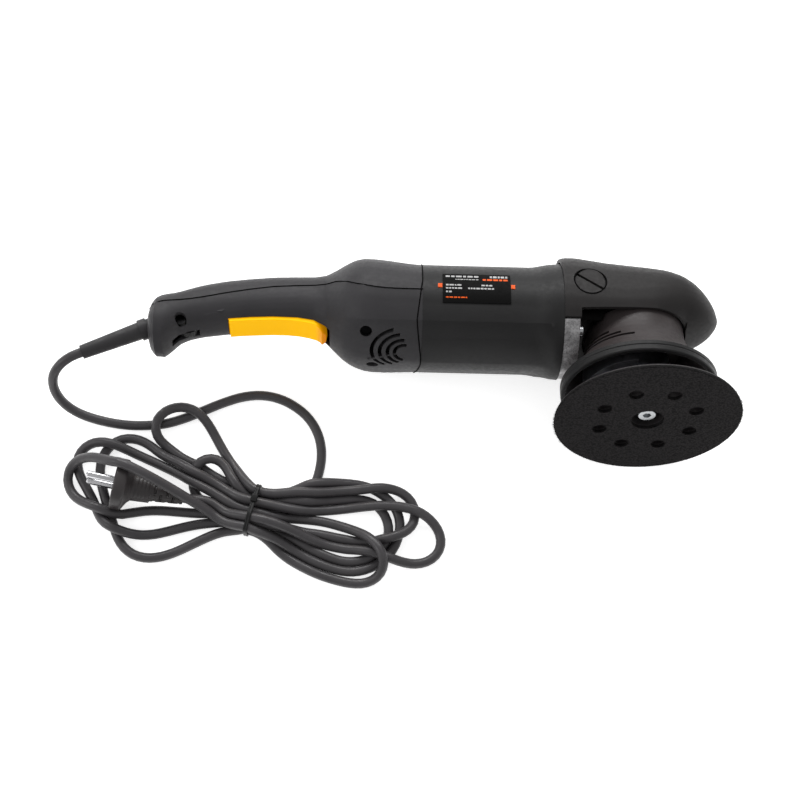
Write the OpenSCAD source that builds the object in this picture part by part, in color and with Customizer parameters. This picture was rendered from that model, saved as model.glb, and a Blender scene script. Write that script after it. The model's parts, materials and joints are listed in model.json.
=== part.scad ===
// Dual-action car polisher, lying on its left side with its mains cord folded into a hank beside it.
// The tool is drawn upright: x runs forward from the handle to the head, z runs up, away from the pad,
// and the origin is where the motor axis meets the spindle axis. lay_down() then rolls it onto its side.

/* [Motor housing] */
// Outer radius of the barrel that holds the motor
barrel_r = 37.5; // [37:0.5:38]
// Wall of every moulded shell
wall = 2.8; // [2.6:0.1:3]

/* [Backing plate] */
// Diameter of the backing plate
plate_d = 125; // [123:1:127]
// Distance between the spindle axis and the pad axis, half the orbit
orbit_offset = 4; // [3.5:0.5:4]
// Circle that the dust holes lie on
hole_circle_d = 66; // [60:1:72]
// Diameter of each dust hole
hole_d = 10; // [8:0.5:10]
// Number of dust holes
hole_count = 8; // [6:1:8]

/* [Gears] */
// Teeth on the crown gear
crown_teeth = 41; // [41:1:41]
// Teeth on the pinion
pinion_teeth = 9; // [9:1:9]

/* [Cord] */
// Outer diameter of the mains cord
cord_d = 6.8; // [6.6:0.1:7]

/* [Hidden] */
$fn = 64;
fine = 0.01;                 // radial clearance of a bearing seat
run = 0.03;                  // radial clearance of a shaft in its bearing

// Posture: the roll about the motor axis at which the barrel's side and the plate's rim both touch the floor
plate_r = plate_d / 2;
rest_roll = 14;
side_r = 42;                 // height of the motor axis above the floor
shift_x = 158.3;
shift_y = 23.3;
module lay_down() {
    translate([shift_x, shift_y, side_r]) rotate([-(90 + rest_roll), 0, 0]) children();
}

// Stations along the motor axis
joint_x = -148;              // handle shells meet the motor housing
flange_x = -52.5;              // motor housing meets the gear case
case_flange_x = -42;         // front face of the gear case flange

// Stations along the spindle axis
case_floor_z = -15.5;
box_floor_z = -20;
carrier_top_z = -33;
carrier_floor_z = -56;
skirt_floor_z = -52;
ring_floor_z = -58;
hub_top_z = -62.2;
plate_floor_z = -76.5;
foam_floor_z = -78;
face_z = -79;

// ---------------------------------------------------------------- solids from cross-sections
function signed_pow(v, p) = sign(v) * pow(abs(v), p);
// A point of a rounded section [x, half width, top, bottom, squareness] at angle a
function section_point(s, a) = [
    s[0],
    s[1] * signed_pow(cos(a), 2 / s[4]),
    (s[2] + s[3]) / 2 + (s[2] - s[3]) / 2 * signed_pow(sin(a), 2 / s[4])];
function inset(s, t) = [s[0], s[1] - t, s[2] - t, s[3] + t, s[4]];
function level_angle(s, z) =
    let (v = max(-1, min(1, (z - (s[2] + s[3]) / 2) / ((s[2] - s[3]) / 2))))
    asin(signed_pow(v, s[4] / 2));
function whole_ring(s, n) = [for (i = [0 : n - 1]) section_point(s, 360 * i / n)];
function arc_ring(s, a0, a1, n) = [for (i = [0 : n]) section_point(s, a0 + (a1 - a0) * i / n)];
// Joins rings of equal length into one closed solid; the rings run counter-clockwise seen from +x
module skin(rings) {
    m = len(rings[0]);
    k = len(rings);
    points = [for (r = rings) for (p = r) p];
    sides = [for (i = [0 : k - 2]) for (j = [0 : m - 1])
        let (a = i * m + j, b = i * m + (j + 1) % m)
        each [[a, a + m, b + m], [a, b + m, b]]];
    first = [for (j = [0 : m - 1]) j];
    last = [for (j = [m - 1 : -1 : 0]) (k - 1) * m + j];
    polyhedron(points = points, faces = concat([first], sides, [last]), convexity = 6);
}

// ---------------------------------------------------------------- small helpers
module along_x(x0, x1, r) {
    translate([x0, 0, 0]) rotate([0, 90, 0]) cylinder(h = x1 - x0, r = r);
}
module ring_x(x0, x1, outer, inner) {
    difference() {
        along_x(x0, x1, outer);
        along_x(x0 - 1, x1 + 1, inner);
    }
}
module along_z(z0, z1, r) {
    translate([0, 0, z0]) cylinder(h = z1 - z0, r = r);
}
module ring_z(z0, z1, outer, inner) {
    difference() {
        along_z(z0, z1, outer);
        along_z(z0 - 1, z1 + 1, inner);
    }
}
// A flat sector between two radii, from angle a0 over a sweep of at most 170 degrees
module sector(outer, inner, a0, sweep) {
    reach = 2 * outer;
    intersection() {
        difference() {
            circle(r = outer);
            circle(r = inner);
        }
        polygon([
            [0, 0],
            [reach * cos(a0), reach * sin(a0)],
            [reach * cos(a0 + sweep / 2), reach * sin(a0 + sweep / 2)],
            [reach * cos(a0 + sweep), reach * sin(a0 + sweep)]]);
    }
}
module sector_x(x0, x1, outer, inner, a0, sweep) {
    translate([x0, 0, 0]) rotate([90, 0, 90]) linear_extrude(height = x1 - x0)
        sector(outer, inner, a0, sweep);
}
// Turns the z axis to point outwards from the motor axis, at an angle below the right-hand side
module radial(x, below) {
    translate([x, 0, 0]) rotate([90 + below, 0, 0]) children();
}

// ---------------------------------------------------------------- handle
// [x, half width, top, bottom, squareness]
handle_sections = [
    [-335, 11.5, -3.5, -21.5, 2.2],
    [-333, 17, 3.6, -28.5, 2.2],
    [-329.6, 20, 8.3, -32.3, 2.2],
    [-324, 20.5, 10.3, -32.3, 2.3],
    [-319, 19.3, 11.3, -27.5, 2.3],
    [-314, 18, 13.2, -21.5, 2.3],
    [-307, 17.2, 16.5, -18.2, 2.3],
    [-298, 17, 19.8, -15.8, 2.3],
    [-283, 17, 23.6, -13.4, 2.3],
    [-266, 17.2, 26.1, -11.5, 2.3],
    [-250, 17.5, 27.8, -10.4, 2.3],
    [-233, 18, 28.4, -10.6, 2.3],
    [-222, 18.6, 28.6, -12.4, 2.3],
    [-214, 21, 29.6, -17, 2.3],
    [-207, 27, 32.6, -24, 2.2],
    [-200, 33.5, 36.6, -30.3, 2.1],
    [-194, 37.4, 39.1, -33.4, 2.1],
    [-188, 39.6, 39.9, -34.8, 2.1],
    [-180, 40.4, 39.8, -35.6, 2.05],
    [-170, 39.8, 38.9, -36.2, 2.05],
    [-158, 38.6, 38, -36.9, 2],
    [joint_x, barrel_r, barrel_r, -barrel_r, 2]];
// Height of the parting line at each of those stations
parting = [-7, -6.5, -5.7, -4.2, -3, -1.8, -0.2, 1.8, 5.6, 9.2, 11.8, 12.8, 13, 12.5, 10.5, 5.8,
    1.4, -1.2, -3.1, -3.7, -3, -2.2];
handle_ends = len(handle_sections) - 1;
guard_axis = [-0.918, 0.1, -0.384];
guard_root = [-334, 0, -12.4];
guard_l = 50;
trigger_half_w = 9.2;
slot_half_w = 9.7;
slot_x = [-280.4, -210.6];
pivot = [-286, 0, -4];
trigger_swing = 5;
radial_screws = [[-185.7, 50.7], [-181, 106]];
tail_screw = [-312, -15];
// Crescents of the air vent: [x of its outermost point, radius, length along x]
vent_below = 77.6;
vent_turn = 9;
vents = [[-166.1, 6.8, 7.1], [-170.9, 10.7, 9.6], [-176.3, 14.7, 11.4], [-181.8, 18.2, 11.8]];
vent_half_w = 1.3;
dial_x = -309;

module handle_cavity() {
    hollow = [for (i = [2 : handle_ends]) inset(handle_sections[i], wall)];
    front = inset(handle_sections[handle_ends], wall);
    skin(concat(
        [for (s = hollow) whole_ring(s, 28)],
        [whole_ring([front[0] + 2, front[1], front[2], front[3], front[4]], 28)]));
}
module half_handle(upper) {
    skin([for (i = [0 : handle_ends])
        let (s = handle_sections[i], a = level_angle(s, parting[i]))
        upper ? arc_ring(s, a, 180 - a, 15) : arc_ring(s, 180 - a, 360 + a, 17)]);
}
module toward_guard() {
    translate(guard_root) rotate([0, acos(guard_axis[2]), atan2(guard_axis[1], guard_axis[0])]) children();
}
module vent_slots() {
    centre_x = vents[0][0] + vents[0][1];
    radial(centre_x, vent_below) translate([0, 0, 22]) linear_extrude(height = 24) rotate(-vent_turn)
        for (v = vents) translate([v[0] + v[1] - centre_x, 0]) difference() {
            circle(r = v[1] + vent_half_w);
            circle(r = v[1] - vent_half_w);
            translate([v[2] - v[1], -30]) square([30, 60]);
        }
}
// Space that the guard's sleeve and its two collars take in the tail
module guard_seat() {
    toward_guard() {
        cylinder(h = 30, r = 6.5, center = true);
        translate([0, 0, -8.2]) cylinder(h = 4.4, r = 8.2);
        translate([0, 0, 2 - fine]) cylinder(h = 12, r = 7.6);
    }
}
module upper_handle_shell() {
    color("dimgray") difference() {
        half_handle(true);
        handle_cavity();
        guard_seat();
    }
}
module lower_handle_shell() {
    color([0.28, 0.27, 0.29]) {
        difference() {
            half_handle(false);
            handle_cavity();
            guard_seat();
            // slot that the trigger fills
            translate([slot_x[0], -slot_half_w, -45]) cube([slot_x[1] - slot_x[0], 2 * slot_half_w, 45 - 4.4]);
            translate([-289.4, -9.3, -10.7]) cube([9.5, 18.6, 9]);
            // slot that the speed dial peeps out of
            translate([dial_x - 9.1, -3.2, -30]) cube([18.2, 6.4, 22]);
            // cord clamp screw, from the side
            translate([tail_screw[0], 0, tail_screw[1]]) rotate([90, 0, 0]) cylinder(h = 30, r = 3.8);
            for (s = radial_screws) radial(s[0], s[1]) cylinder(h = 60, r = 4.1);
            vent_slots();
            translate([lock_x, 0, lock_z]) rotate([-90, 0, 0]) cylinder(h = 30, r = 4.35);
            translate(pivot) rotate([90, 0, 0]) cylinder(h = 28.4, r = 1.52, center = true);
        }
        // rib that ties the vent's bars together
        radial(-184, vent_below) translate([0, -9.2, 31.6]) rotate(16) cube([21, 1.4, 3.1]);
        // screw towers under the radial screws
        for (s = radial_screws) radial(s[0], s[1]) difference() {
            translate([0, 0, 26]) cylinder(h = 9, r = 5.2);
            translate([0, 0, 28.5]) cylinder(h = 12, r = 4.1);
            cylinder(h = 40, r = 2);
        }
        // boss for the screw in the side of the tail
        intersection() {
            half_handle(false);
            translate([tail_screw[0], -4, tail_screw[1]]) rotate([90, 0, 0]) difference() {
                cylinder(h = 5.5, r = 4.8);
                translate([0, 0, -1]) cylinder(h = 8, r = 1.5);
            }
        }
        // bosses that carry the trigger's pivot pin
        for (side = [-1, 1]) translate([pivot[0], side * 12.4, pivot[2]]) rotate([90, 0, 0])
            difference() {
                cylinder(h = 3.6, r = 4, center = true);
                cylinder(h = 5, r = 1.52, center = true);
            }
    }
}
module handle_screws() {
    color("gray") {
        for (s = radial_screws) radial(s[0], s[1]) {
            translate([0, 0, 28.5]) cylinder(h = 2.6, r = 3.6);
            translate([0, 0, 17]) cylinder(h = 11.5, r = 1.6);
        }
        translate([tail_screw[0], -9.5, tail_screw[1]]) rotate([90, 0, 0]) {
            cylinder(h = 2.2, r = 3.3);
            translate([0, 0, -5.2]) cylinder(h = 5.2, r = 1.5);
        }
    }
}
// Rubber sleeve that keeps the cord from kinking, with a collar inside the tail
module cord_guard() {
    color([0.17, 0.16, 0.17]) toward_guard() {
        translate([0, 0, -8]) cylinder(h = 4, r = 8);
        translate([0, 0, -4]) cylinder(h = 6, r = 6.3);
        translate([0, 0, 2]) cylinder(h = 6, r = 7.4);
        translate([0, 0, 8]) cylinder(h = guard_l - 8, r1 = 6.2, r2 = 4.9);
    }
}
module cord_clamp() {
    color("dimgray") translate([-322.8, -7.8, -22.4]) difference() {
        cube([4.8, 15.6, 16]);
        translate([-1, 7.8, 11.4]) rotate([0, 90, 0]) cylinder(h = 8, r = cord_d / 2);
    }
}
module speed_controller() {
    color("darkgreen") translate([-316, -10, 0.6]) {
        cube([28, 20, 1.6]);
        translate([2, 3, 1.6]) cube([12, 14, 7]);
        translate([16, 4, 1.6]) cube([9, 12, 5]);
    }
}
module speed_dial() {
    color([0.12, 0.12, 0.13]) translate([dial_x, 0, -10.4]) rotate([90, 0, 0]) difference() {
        cylinder(h = 5, r = 8.6, center = true);
        for (i = [0 : 23]) rotate(15 * i) translate([8.9, 0, 0]) cylinder(h = 6, r = 0.55, center = true);
        cylinder(h = 6, r = 1.6, center = true);
    }
    color("silver") translate([dial_x, 0, -10.4]) rotate([90, 0, 0])
        cylinder(h = 7.6, r = 1.6, center = true);
}
switch_x = [-264, -222];
plunger_x = -233;
lock_x = -238;
lock_z = 7;
module switch_body() {
    color([0.15, 0.15, 0.16]) difference() {
        translate([switch_x[0], -8.4, 1]) cube([switch_x[1] - switch_x[0], 16.8, 20]);
        translate([plunger_x - 3.2, -3.2, -1]) cube([6.4, 6.4, 10]);
    }
}
module switch_plunger() {
    color("ivory") translate([plunger_x - 3, -3, -7.3]) cube([6, 6, 9.5]);
}
// A tongue-shaped lever set into the underside of the handle, with a lip curling down at its front
trigger_profile = [
    [-279.6, -12.9], [-272, -12], [-262, -11.2], [-250, -10.5], [-240, -10.5], [-232, -11.2],
    [-225, -12.6], [-220, -14.2], [-217.5, -16.4], [-216, -19], [-213.2, -18.6], [-212.4, -15.5],
    [-212.8, -12.2], [-214.5, -9.6], [-218, -8.4], [-232, -7.6], [-262, -8.2], [-279.6, -10]];
module trigger() {
    color([0.99, 0.76, 0.02]) difference() {
        union() {
            intersection() {
                translate([0, trigger_half_w, 0]) rotate([90, 0, 0])
                    linear_extrude(height = 2 * trigger_half_w) polygon(trigger_profile);
                // plan view: straight sides and a round front
                translate([0, 0, -25]) linear_extrude(height = 30) union() {
                    translate([-285, -trigger_half_w]) square([285 - 221.6, 2 * trigger_half_w]);
                    translate([-221.6, 0]) circle(r = trigger_half_w);
                }
            }
            // side ribs and the ears that the pin goes through
            for (side = [-1, 1]) translate([0, side * (trigger_half_w - 1.3) + 1.1, 0])
                rotate([90, 0, 0]) linear_extrude(height = 2.2) union() {
                    polygon([[-281, -10.2], [-226, -8.4], [-228, -5.2], [-281, -5]]);
                    polygon([[-288.5, -7], [-279, -10.4], [-279, -2], [-286, -0.2], [-289, -2]]);
                }
        }
        translate(pivot) rotate([90, 0, 0]) cylinder(h = 40, r = 1.56, center = true);
    }
}
module trigger_pin() {
    color("silver") translate(pivot) rotate([90, 0, 0]) cylinder(h = 28, r = 1.5, center = true);
}
// Torsion spring wound round the trigger's pin, drawn as its close turns
module trigger_spring() {
    color("silver") translate(pivot) rotate([90, 0, 0]) for (i = [-3 : 3])
        translate([0, 0, 1.3 * i]) difference() {
            cylinder(h = 1.1, r = 2.9, center = true);
            cylinder(h = 2, r = 1.9, center = true);
        }
}
module lock_button() {
    color([0.12, 0.12, 0.13]) translate([lock_x, 0, lock_z]) rotate([-90, 0, 0]) {
        translate([0, 0, 12.2]) cylinder(h = 1.6, r = 5.4);
        translate([0, 0, 13.8]) cylinder(h = 6.2, r = 4);
    }
}
module suppression_capacitor() {
    color("darkgoldenrod") translate([-204, -13, 9]) cube([12, 26, 11]);
}

// ---------------------------------------------------------------- motor
core_x = [-134, -91];
core_r = 19.6;
stator_x = [-135, -90];
stator_r = 34.2;
bore_r = 20.3;
commutator_x = [-164, -147];
brush_x = -155.5;
rear_bearing_x = [-177, -170];
front_bearing_x = [-45, -36];
module motor_housing() {
    color([0.2, 0.2, 0.21]) {
        difference() {
            rotate([90, 0, 90]) rotate_extrude() polygon([
                [barrel_r - wall, joint_x + 2.4], [24.5, joint_x + 2.4], [24.5, joint_x],
                [barrel_r, joint_x], [barrel_r, -76], [37.9, -71.5], [38.8, -66.5], [39.8, -60.5],
                [40.4, flange_x], [31.6, flange_x], [31.6, -61], [barrel_r - wall, -61]]);
            for (a = [45 : 90 : 315]) rotate([a, 0, 0]) translate([-61.5, 0, 34.8])
                rotate([0, 90, 0]) cylinder(h = 10, r = 1.8);
        }
    }
}
label_half_sweep = 18.5;
module label_plate() {
    color([0.05, 0.05, 0.05]) sector_x(-134.6, -88.6, barrel_r + 0.6, barrel_r, 180 - label_half_sweep,
        2 * label_half_sweep);
}
module label_tabs() {
    color("darkorange") for (x = [[-137.8, -134.9], [-88.3, -85.6]])
        sector_x(x[0], x[1], barrel_r + 0.5, barrel_r, 176, 5);
}
module stator_core() {
    color("slategray") translate([stator_x[0], 0, 0]) rotate([90, 0, 90])
        linear_extrude(height = stator_x[1] - stator_x[0]) difference() {
            circle(r = stator_r);
            circle(r = bore_r);
            for (a = [0, 180]) rotate(a) {
                sector(29, bore_r - 1, -35, 70);
            }
        }
}
// Each coil has two straight sides in the stator's windows and two bowed ends
module field_windings() {
    color("peru") for (a = [0, 180]) rotate([a, 0, 0]) {
        for (s = [10, 145]) sector_x(stator_x[0] - 7, stator_x[1] + 7, 28.4, 21.4, s, 25);
        sector_x(stator_x[0] - 7, stator_x[0] - 0.4, 28.4, 21.4, 30, 120);
        sector_x(stator_x[1] + 0.4, stator_x[1] + 7, 28.4, 21.4, 30, 120);
    }
}
// Moulded frame behind the motor that carries the rear bearing and the brush gear
module bearing_bridge() {
    color([0.2, 0.2, 0.22]) difference() {
        union() {
            along_x(-178, -168.5, 24);
            along_x(-191, -178, 15.5);
            for (a = [45 : 90 : 315]) rotate([a, 0, 0]) translate([-170, 0, 25.5])
                rotate([0, 90, 0]) cylinder(h = joint_x + 170, r = 4);
            for (s = radial_screws) radial(s[0], s[1]) translate([0, 0, 10]) cylinder(h = 15.5, r = 4.6);
        }
        along_x(rear_bearing_x[0], -160, 11 + fine);
        along_x(-185, -176, 7);
        for (s = radial_screws) radial(s[0], s[1]) translate([0, 0, 16.5]) cylinder(h = 12, r = 1.6);
    }
}
module brush_holders() {
    color("goldenrod") for (a = [0, 180]) rotate([a, 0, 0]) difference() {
        translate([brush_x - 6.5, -5.5, 14.6]) cube([13, 11, 13]);
        translate([brush_x - 5.1, -4.1, 10]) cube([10.2, 8.2, 20]);
        along_x(brush_x - 10, brush_x + 10, 15);
    }
}
module brushes() {
    color([0.1, 0.1, 0.1]) for (a = [0, 180]) rotate([a, 0, 0]) difference() {
        translate([brush_x - 5, -4, 12]) cube([10, 8, 14]);
        along_x(brush_x - 10, brush_x + 10, 13.3);
    }
}
module rear_bearing() {
    color("silver") ring_x(rear_bearing_x[0] + 0.1, rear_bearing_x[1], 11, 4 + run);
}
module front_bearing() {
    color("silver") ring_x(front_bearing_x[0], front_bearing_x[1], 15, 5 + run);
}
module armature_shaft() {
    color("lightsteelblue") {
        along_x(-178, -168, 4);
        along_x(-168, -34.5, 5);
        along_x(-34.5, -24.5, 3.4);
    }
}
module armature_core() {
    color("slategray") translate([core_x[0], 0, 0]) rotate([90, 0, 90])
        linear_extrude(height = core_x[1] - core_x[0]) difference() {
            circle(r = core_r);
            for (i = [0 : 11]) rotate(30 * i) {
                translate([14, -2]) square([4.4, 4]);
                translate([17, -0.9]) square([4, 1.8]);
            }
            circle(r = 5);
        }
}
module armature_windings() {
    color("sienna") for (x = [[-145, core_x[0]], [core_x[1], -82]]) ring_x(x[0], x[1], 17, 5);
}
module commutator() {
    color("peru") difference() {
        ring_x(commutator_x[0], commutator_x[1], 13, 5);
        for (i = [0 : 23]) rotate([15 * i, 0, 0]) translate([-165, -0.3, 12])
            cube([15, 0.6, 3]);
    }
}
fan_x = [-79, -68];
module fan() {
    color([0.25, 0.25, 0.26]) {
        ring_x(fan_x[0], fan_x[1], 9, 5);
        ring_x(fan_x[0], fan_x[0] + 1.6, 29.5, 8);
        for (i = [0 : 10]) rotate([360 / 11 * i, 0, 0]) translate([fan_x[0] + 1, -0.8, 12])
            cube([8, 1.6, 17]);
    }
}
module fan_baffle() {
    color("dimgray") ring_x(-82.6, -80.2, barrel_r - wall - 0.1, 22);
}

// ---------------------------------------------------------------- bevel gears, drawn along rays from the origin
crown_outer = 23.8;
crown_inner = 17.2;
pitch_slope = pinion_teeth / crown_teeth;
tooth_pitch = 2 * PI * crown_outer / crown_teeth;
module_size = tooth_pitch / PI;
addendum = 0.85 * module_size;
dedendum = 1.15 * module_size;
// Half widths of a tooth at its root, pitch line and tip, as shares of the tooth pitch
crown_tooth = [0.34, 0.18, 0.08];
pinion_tooth = [0.26, 0.17, 0.055];
function crown_ring(r) = [for (i = [0 : crown_teeth - 1]) for (k = [0 : 3])
    let (tip = (k == 1 || k == 2),
        half = tip ? crown_tooth[2] : crown_tooth[0],
        a = 360 / crown_teeth * (i + (k < 2 ? -half : half)),
        z = (-pitch_slope + (tip ? addendum : -dedendum) / crown_outer) * r)
    [r * cos(a), r * sin(a), z]];
function pinion_ring(d) = [for (i = [0 : pinion_teeth - 1]) for (k = [0 : 5])
    let (level = min(k, 5 - k),
        half = pinion_tooth[level],
        a = 360 / pinion_teeth * (i + 0.75 + (k < 3 ? -half : half)),
        r = (pitch_slope + [-dedendum, 0, addendum][level] / crown_outer) * d)
    [-d, r * cos(a), r * sin(a)]];
module crown_gear() {
    m = 4 * crown_teeth;
    base_z = -11;
    points = concat(
        crown_ring(crown_outer),
        crown_ring(crown_inner),
        [for (p = crown_ring(crown_inner)) [p[0], p[1], base_z]],
        [for (p = crown_ring(crown_outer)) [p[0], p[1], base_z]]);
    faces = [for (k = [0 : 3]) for (j = [0 : m - 1])
        let (a = k * m + j, b = k * m + (j + 1) % m, n = ((k + 1) % 4) * m,
            c = n + j, d = n + (j + 1) % m)
        each [[a, c, b], [b, c, d]]];
    color("gray") {
        polyhedron(points = points, faces = faces, convexity = 8);
        difference() {
            union() {
                along_z(-14, base_z + 0.4, crown_outer - 0.4);
                along_z(base_z, -9, crown_inner + 0.7);
            }
            along_z(-20, 0, 6);
        }
    }
}
module pinion() {
    color("gray") difference() {
        union() {
            skin([for (d = [24.4, 17.6]) pinion_ring(d)]);
            along_x(-33.8, -24.1, 6.5);
        }
        along_x(-40, -24.5, 3.4);
    }
}

// ---------------------------------------------------------------- gear head
case_screw_r = 34.8;
cap_x = -34.5;
cap_z = 6.5;
cap_seat = 34.4;
case_screw_x = -60.5;
case_top_z = 19;
module gear_case() {
    color("silver") difference() {
        union() {
            along_x(flange_x, case_flange_x, 39.6);
            along_x(case_flange_x, -10, 29);
            along_z(case_floor_z, case_top_z, 31);
            along_z(case_top_z, 27, 18);
            translate([24, 0, -7]) cylinder(h = 21, r = 20);
            // sockets for the side handle
            for (side = [-1, 1]) translate([cap_x, 0, cap_z]) rotate([90 * side, 0, 0])
                cylinder(h = cap_seat, r = 9);
        }
        // flat underside that the bearing box bolts to
        translate([case_flange_x, -50, -60]) cube([120, 100, 60 + case_floor_z]);
        ring_z(case_floor_z - 1, -9.2, 36, 31.2);
        // step where the cover laps over the flange, and the seats of the side handle's plugs
        difference() {
            translate([flange_x - 1, -50, -21]) cube([case_flange_x - flange_x + 2, 100, 80]);
            along_x(flange_x - 2, case_flange_x + 2, 38.1);
        }
        for (side = [-1, 1]) translate([cap_x, 0, cap_z]) rotate([90 * side, 0, 0])
            translate([0, 0, cap_seat]) cylinder(h = 10, r = 10.8);
        // gear chamber, pinion passage and bearing seats
        along_z(case_floor_z - 1, 8, 27);
        along_x(front_bearing_x[0], -10, 8);
        along_x(flange_x - 1, front_bearing_x[1], 15 + fine);
        along_z(7, 20, 7.2);
        along_z(11, 18.6, 11 + fine);
        for (side = [-1, 1]) translate([cap_x, 0, cap_z]) rotate([90 * side, 0, 0])
            translate([0, 0, 22]) cylinder(h = 20, r = 4);
        for (a = [45 : 90 : 315]) rotate([a, 0, 0]) translate([flange_x - 1, 0, case_screw_r])
            rotate([0, 90, 0]) cylinder(h = 20, r = 2.1);
    }
}
module gear_case_screws() {
    color("dimgray") for (a = [45 : 90 : 315]) rotate([a, 0, 0])
        translate([case_screw_x, 0, case_screw_r]) rotate([0, 90, 0]) {
            cylinder(h = case_flange_x - case_screw_x, r = 1.75);
            translate([0, 0, case_flange_x - case_screw_x]) cylinder(h = 2.4, r = 3.2);
        }
}
cover_sections = [
    [flange_x, 41.2, 44.4, -41, 2.05],
    [-50, 41.2, 45.4, -41, 2.1],
    [-42, 41, 45.2, -40.5, 2.15],
    [-32, 40.6, 43, -40, 2.2],
    [-20, 40, 40.4, -38, 2.25],
    [-5, 39.2, 38.2, -35, 2.3],
    [10, 38, 35.8, -30, 2.4],
    [22, 36, 33, -20, 2.5],
    [32, 33, 29.6, -14, 2.5],
    [40, 29, 25.8, -12.6, 2.4],
    [47, 23.5, 21, -10.8, 2.3],
    [53, 16.5, 15.2, -8, 2.2],
    [57, 9.5, 9.6, -4, 2.1],
    [59.4, 3, 4, 0, 2]];
cover_wall = 2.4;
module head_cover() {
    color([0.23, 0.22, 0.23]) difference() {
        skin([for (s = cover_sections) whole_ring(s, 32)]);
        skin(concat(
            [whole_ring([flange_x - 2, 38.8, 42, -38.6, 2.05], 32)],
            [for (i = [0 : 10]) whole_ring(inset(cover_sections[i], cover_wall), 32)]));
        // open underside, and the step that uncovers the gear case flange
        translate([0, 50, 0]) rotate([90, 0, 0]) linear_extrude(height = 100) polygon([
            [-70, -60], [-70, -20.5], [-41.3, -20.5], [-41.3, -14.8], [-2, -12.6], [20, -11.4], [34, -11],
            [34, -60]]);
        translate([0, 0, -30]) cylinder(h = 19.6, r = 35.4);
        for (side = [-1, 1]) translate([cap_x, 0, cap_z]) rotate([90 * side, 0, 0])
            cylinder(h = 60, r = 10.9);
    }
}
// Slotted plugs that close the side handle's threaded sockets
module side_handle_caps() {
    color([0.2, 0.2, 0.21]) for (side = [-1, 1]) translate([cap_x, 0, cap_z])
        rotate([90 * side, 0, 0]) {
            translate([0, 0, 24]) cylinder(h = cap_seat - 24, r = 4);
            translate([0, 0, cap_seat]) difference() {
                cylinder(h = 4.4, r = 10.5);
                rotate(-35 * side) translate([-12, -0.9, 2.8]) cube([24, 1.8, 4]);
            }
        }
}
module upper_spindle_bearing() {
    color("silver") ring_z(11.1, 18, 11, 4 + run);
}
module spindle() {
    color("lightsteelblue") {
        along_z(10.6, 18.4, 4);
        along_z(-40.8, 10.6, 6);
    }
}
module bearing_box() {
    color("silver") difference() {
        union() {
            along_z(box_floor_z, case_floor_z - 0.02, 31);
            along_z(-28.4, box_floor_z, 21);
        }
        along_z(-30, -18, 16 + fine);
        along_z(-19, -10, 13);
        for (a = [30 : 120 : 270]) rotate(a) translate([28, 0, -22]) cylinder(h = 10, r = 1.6);
    }
}
module lower_spindle_bearing() {
    color("silver") ring_z(-28, -18, 16, 6 + run);
}
module bearing_retainer() {
    color("gray") ring_z(-30, -28.4, 20.6, 9);
}

// ---------------------------------------------------------------- skirt
skirt_wall = 2.3;
function skirt_r(z) = 34 + 17.5 * pow(max(0, (-z - 14) / 38), 2.2);
skirt_heights = [for (i = [0 : 10]) -14 - 38 * i / 10];
module skirt() {
    outside = [for (z = skirt_heights) [skirt_r(z), z]];
    inside = [for (i = [10 : -1 : 0]) [skirt_r(skirt_heights[i]) - skirt_wall, skirt_heights[i]]];
    color([0.3, 0.28, 0.28]) difference() {
        union() {
            rotate_extrude() polygon(concat(
                [[34 - skirt_wall, -9.5], [34, -9.5]], outside, inside));
            ring_z(-23, box_floor_z - 0.02, 33.5, 21.2);
        }
        for (a = [30 : 120 : 270]) rotate(a) translate([28, 0, -25]) cylinder(h = 10, r = 2);
        // three louvres, each longer than the one above
        for (k = [0 : 2]) translate([0, 0, -28 - 3.7 * k]) linear_extrude(height = 2.3)
            sector(60, 20, 165, 66 + 14 * k);
    }
}
module skirt_ring() {
    color([0.2, 0.19, 0.2]) rotate_extrude() polygon([
        [51.7, -50.6], [52.4, -50.2], [53, -50.8], [53, -53.2], [52.6, -53.5], [52.6, -54], [53, -54.3],
        [53, -57.2], [52.4, ring_floor_z], [50, ring_floor_z], [49.2, -57],
        [49.2, skirt_floor_z], [51.7, skirt_floor_z]]);
}
module skirt_screws() {
    color("silver") for (a = [30 : 120 : 270]) rotate(a) translate([28, 0, 0]) {
        along_z(-24.6, -23, 3);
        along_z(-23, -16, 1.55);
    }
}

// ---------------------------------------------------------------- eccentric and pad
module on_pad_axis() {
    translate([orbit_offset, 0, 0]) children();
}
carrier_r = 18.6;
module eccentric_carrier() {
    color("slategray") difference() {
        on_pad_axis() along_z(carrier_floor_z, carrier_top_z, carrier_r);
        along_z(-60, -30, 6);
        on_pad_axis() along_z(-60, -42, 14 + fine);
        along_z(-42.5, -41, 8);
    }
}
module eccentric_weight() {
    color("gray") difference() {
        along_z(-55, -39.5, 37);
        on_pad_axis() along_z(-60, -30, carrier_r);
        translate([-6, -50, -60]) cube([80, 100, 40]);
        for (y = [-16, 16]) translate([-24, y, -60]) cylinder(h = 30, r = 2.4);
    }
}
module weight_screws() {
    color("silver") for (y = [-16, 16]) translate([-24, y, 0]) {
        along_z(-56.6, -55, 4);
        along_z(-55, -41, 2.4);
    }
}
module pad_bearings() {
    color("silver") on_pad_axis() {
        ring_z(-49, -42.2, 14, 6 + run);
        ring_z(-56, -49.1, 14, 6 + run);
    }
}
module pad_spindle() {
    color("lightsteelblue") on_pad_axis() difference() {
        union() {
            along_z(-58, -42.6, 6);
            along_z(hub_top_z, -58, 12);
        }
        along_z(-70, -48, 4);
    }
}
module dust_holes(z0, z1, r) {
    for (i = [0 : hole_count - 1]) rotate(360 / hole_count * (i + 0.5))
        translate([hole_circle_d / 2, 0, 0]) along_z(z0, z1, r);
}
plate_screw_r = 51;
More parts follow.
